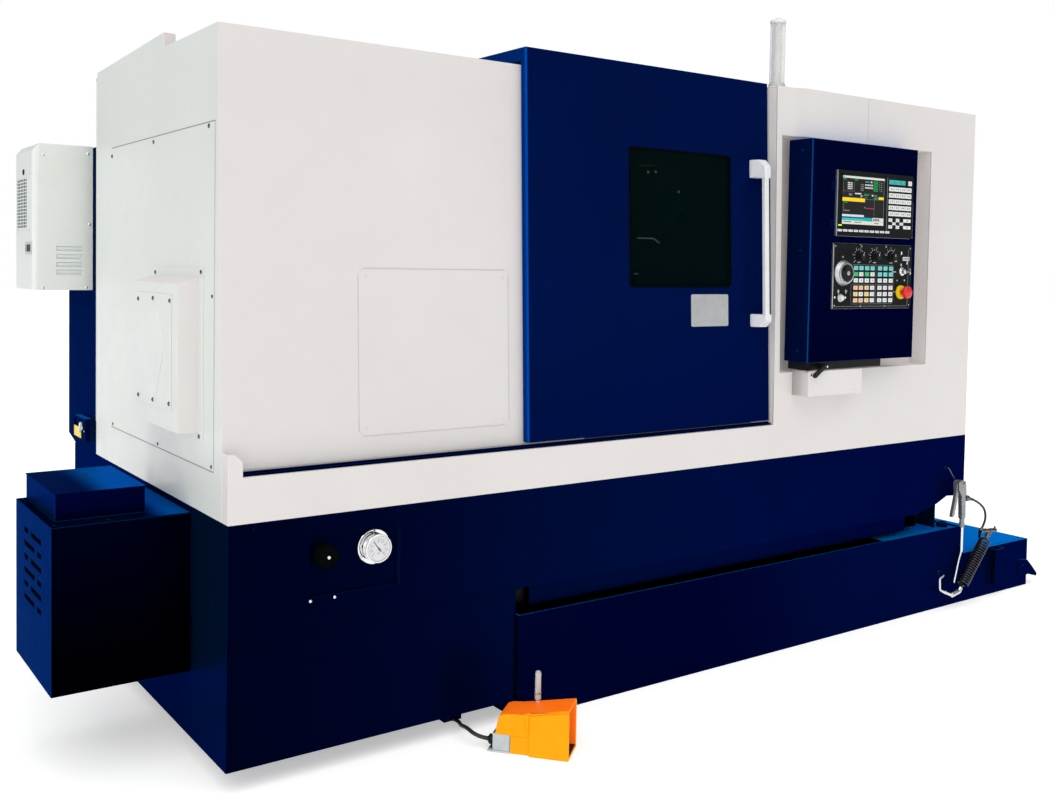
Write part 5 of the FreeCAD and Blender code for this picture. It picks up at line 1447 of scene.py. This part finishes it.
p.lathe(tuple(C2 - cd * 3), tuple(cd), [(0, 3.4), (3, 5.2), (6, 6.6), (9, 8.4), (22, 9.0), (23, 9.0)], "chrome", 40)
q0, q1 = le, Vector((2600, GY, 50))
qd = (q1 - q0).normalized()
ql = (q1 - q0).length
p.lathe(tuple(q0 - qd * 4), tuple(qd), [(0, 6.0), (3, 8.6), (ql - 8, 8.9), (ql - 5, 9.0), (ql + 4, 9.0), (ql + 5, 7.0), (ql + 5, 0)], "chrome", 40)
hexnut(q0, qd, 2, 14, 9.0)
r0, r1 = Vector((2600, GY, 50)), Vector((2545, GY, 72))
rd = (r1 - r0).normalized()
rl = (r1 - r0).length
p.lathe(tuple(r0), tuple(rd), [(-1, 0), (0, 6), (rl - 14, 6), (rl - 13, 5.2), (rl - 2, 5.2), (rl, 4.0)], "chrome", 32)
hexnut(r0, rd, rl - 32, rl - 18, 6.0)
p.sweep([(2545, GY, 72), (2537, GY, 75.4), (2531.6, GY, 79), (2529.6, GY, 84), (2527.6, GY, 110), (2528.4, GY + 0.6, 116), (2533, GY + 1.6, 119),
         (2556, GY + 5.4, 123.2), (2561, GY + 8, 124), (2564, GY + 14, 124), (2570.6, -3.6, 124)], 3.9, "chrome", 18)
p.lathe((2572, 0, 124), (0, -1, 0), [(0, 8), (2.0, 8), (3.0, 7.2), (3.0, 5), (5.4, 5), (5.6, 4.2)], "blue", 36)
p.sweep([(2592, 0, 494), (2592, -10, 494), (2593.4, -13.6, 492.4), (2596, -14.4, 488), (2629, -16.6, 445), (2631, -17.6, 441.6),
         (2632, -21, 440.8), (2632, -49, 440.8), (2631.6, -52, 442), (2630, -54, 446), (2629, -55, 452)], 1.9, "gunmetal", 14)
p.lathe((2592, 0, 494), (0, -1, 0), [(0, 5.5), (1.2, 5.5), (2.2, 4), (2.2, 2)], "blue", 28)
p.done(replaces=("air_line_fittings",))

# ------------------------------------------------------------- foot switch -
FU = Vector((0.647, -0.763, 0.0)).normalized()
FV = Vector((0.763, 0.647, 0.0)).normalized()
FX = Matrix(((FU.x, FV.x, 0, 618), (FU.y, FV.y, 0, -117), (0, 0, 1, 0), (0, 0, 0, 1)))


def fs_pick(c, n):
    d = Vector((c.x - 618.0, c.y + 117.0, 0))
    u, v = d.dot(FU), d.dot(FV)
    nu, nv = n.x * FU.x + n.y * FU.y, n.x * FV.x + n.y * FV.y
    if u < 46.2 and c.z < 47 and 3.2 < v + 8 and not (u > 45.8 and c.z > 46.2):
        if u < 0.2 and v > 7 and c.z > 10 and v < 34:
            return 2
        return 3
    if c.z > 99.5 and abs(u - 94) < 8 and abs(v - 77) < 8 and (c.z > 107 or n.z < 0.5 or c.z > 125):
        return 4
    if 50 < u < 189.5 and 4.4 < v < 80.6 and 7.9 < c.z < 115.5 and not (c.z > 99 and n.z > 0.5 and u < 60):
        if (n.z > 0.8 and c.z < 9) or (nu > 0.4 and u < 64):
            return 2
        if abs(v - 80.5) < 0.2 and nv < -0.8:
            return 1
    # top faces take the orange's painted top light copy
    if n.z > 0.55:
        return 1
    return 0


fs = refine("foot_switch_body", ["orange", "orange_painted_top_light", "satin", "zinc", "grey_paint_and_shade"], 2.0, segs=3, pick=fs_pick)
p = Piece("foot_switch_details", ROOT, "orange_paint")
for u, v in ((-6, 6), (-6, 79)):
    p.lathe((u, v, 5), (0, 0, 1), [(0, 4.4), (2.2, 4.4), (3.0, 3.6), (3.0, 1.8), (1.6, 1.6), (1.6, 0)], "steel", 6, xf=FX)
for v, z in ((12, 11), (73, 11), (12, 39), (73, 39)):
    p.lathe((0, v, z), (-1, 0, 0), [(0, 3.2), (1.2, 3.0), (1.6, 2.0), (1.6, 0)], "steel", 16, xf=FX)
p.lathe((0.5, 20.7, 23.2), (-1, 0, 0), [(0, 9), (1, 9.6), (2.6, 9.6), (2.8, 11.4), (3.4, 11.9), (11.6, 11.9), (12.4, 11.2), (13.4, 8.4), (15.2, 7.0),
                                        (16.6, 5.3)], "black", 36, xf=FX)
for k in range(18):
    a = 2 * math.pi * k / 18
    p.box(-12, -3.4, -0.5, 0.5, 11.4, 12.2, "black", 0.15, xf=FX @ Matrix.Translation((0.5, 20.7, 23.2)) @ Matrix.Rotation(a, 4, "X"))
p.done()
p = Piece("pedal_tread", "pedal", "black_plastic")
for k in range(9):
    u = 78 + 10 * k
    p.box(u - 1.6, u + 1.6, 15, 70, 43.8, 44.9, "black", 0.4, xf=FX)
p.done()

# ---------------------------------------------------------------- material -
# anything still showing as a bare CAD node gets its slot's paint
by_slot = {"casting": "casting", "zinc_steel": "zinc", "blue_paint": "blue", "white_paint": "white", "guard_paint": "guard",
           "ground_steel": "steel", "motor_paint": "motor", "belt_rubber": "belt", "smoked_glass": "glass", "handle_white": "handle",
           "cooler_paint": "cooler", "black_plastic": "black", "panel_black": "panel", "black_paint": "satin", "red_plastic": "red",
           "white_plastic": "keywhite", "chrome": "chrome", "lamp_lens": "lens", "gun_alu": "gun", "hose_black": "hose",
           "cable_black": "cable", "orange_paint": "orange"}
for name, ob in frame["nodes"].items():
    ob.data.materials.clear()
    ob.data.materials.append(M[by_slot[SLOT[name]]])

# ------------------------------------------------------------------ stage --
fm, nt, bs = new_mat("studio_floor")
tc = nt.nodes.new("ShaderNodeTexCoord")
nz1 = nt.nodes.new("ShaderNodeTexNoise")
nz1.inputs["Scale"].default_value = 0.8
nt.links.new(tc.outputs["Object"], nz1.inputs["Vector"])
rp = nt.nodes.new("ShaderNodeValToRGB")
rp.color_ramp.elements[0].color = (0.88, 0.88, 0.88, 1)
rp.color_ramp.elements[1].color = (0.90, 0.90, 0.90, 1)
nt.links.new(nz1.outputs["Fac"], rp.inputs["Fac"])
nt.links.new(rp.outputs["Color"], bs.inputs["Base Color"])
bs.inputs["Roughness"].default_value = 0.9
bs.inputs["Specular IOR Level"].default_value = 0.1
bs.inputs["Emission Color"].default_value = (1, 1, 1, 1)
bs.inputs["Emission Strength"].default_value = 0.42
me = bpy.data.meshes.new("studio_floor")
S = 40.0
me.from_pydata([(-S, -S, -0.0005), (S, -S, -0.0005), (S, S, -0.0005), (-S, S, -0.0005)], [], [(0, 1, 2, 3)])
me.materials.append(fm)
floor = bpy.data.objects.new("studio_floor", me)
bpy.context.scene.collection.objects.link(floor)

world = bpy.data.worlds.new("studio")
bpy.context.scene.world = world
world.use_nodes = True
wn_, wl = world.node_tree.nodes, world.node_tree.links
bg = wn_["Background"]
bg.inputs["Color"].default_value = (0.97, 0.985, 1.0, 1)
bg.inputs["Strength"].default_value = 0.28
bg2 = wn_.new("ShaderNodeBackground")
bg2.inputs["Color"].default_value = (1, 1, 1, 1)
bg2.inputs["Strength"].default_value = 1.0
lp = wn_.new("ShaderNodeLightPath")
mx = wn_.new("ShaderNodeMixShader")
wl.new(lp.outputs["Is Camera Ray"], mx.inputs["Fac"])
wl.new(bg.outputs["Background"], mx.inputs[1])
wl.new(bg2.outputs["Background"], mx.inputs[2])
wl.new(mx.outputs["Shader"], wn_["World Output"].inputs["Surface"])


def area(name, loc, target, size, power, color):
    ld = bpy.data.lights.new(name, "AREA")
    ld.shape = "RECTANGLE"
    ld.size, ld.size_y = size
    ld.energy = power
    ld.color = color
    ob = bpy.data.objects.new(name, ld)
    ob.location = loc
    ob.rotation_euler = (Vector(target) - Vector(loc)).to_track_quat("-Z", "Y").to_euler()
    bpy.context.scene.collection.objects.link(ob)
    return ob


def sun(name, direction, strength, angle, color):
    ld = bpy.data.lights.new(name, "SUN")
    ld.energy = strength
    ld.angle = math.radians(angle)
    ld.color = color
    ob = bpy.data.objects.new(name, ld)
    ob.rotation_euler = Vector(direction).to_track_quat("-Z", "Y").to_euler()
    bpy.context.scene.collection.objects.link(ob)
    return ob


sun("overhead", (0.10, 0.22, -1.0), 1.6, 80, (1.0, 1.0, 1.0))
sun("front", (0.25, 1.0, -0.45), 0.55, 70, (1.0, 0.99, 0.98))
sun("left", (1.0, 0.35, -0.25), 1.25, 80, (1.0, 1.0, 1.0))

scn = bpy.context.scene
scn.view_settings.view_transform = "Standard"
scn.view_settings.look = "None"
scn.view_settings.exposure = 0.0
scn.view_settings.gamma = 1.0
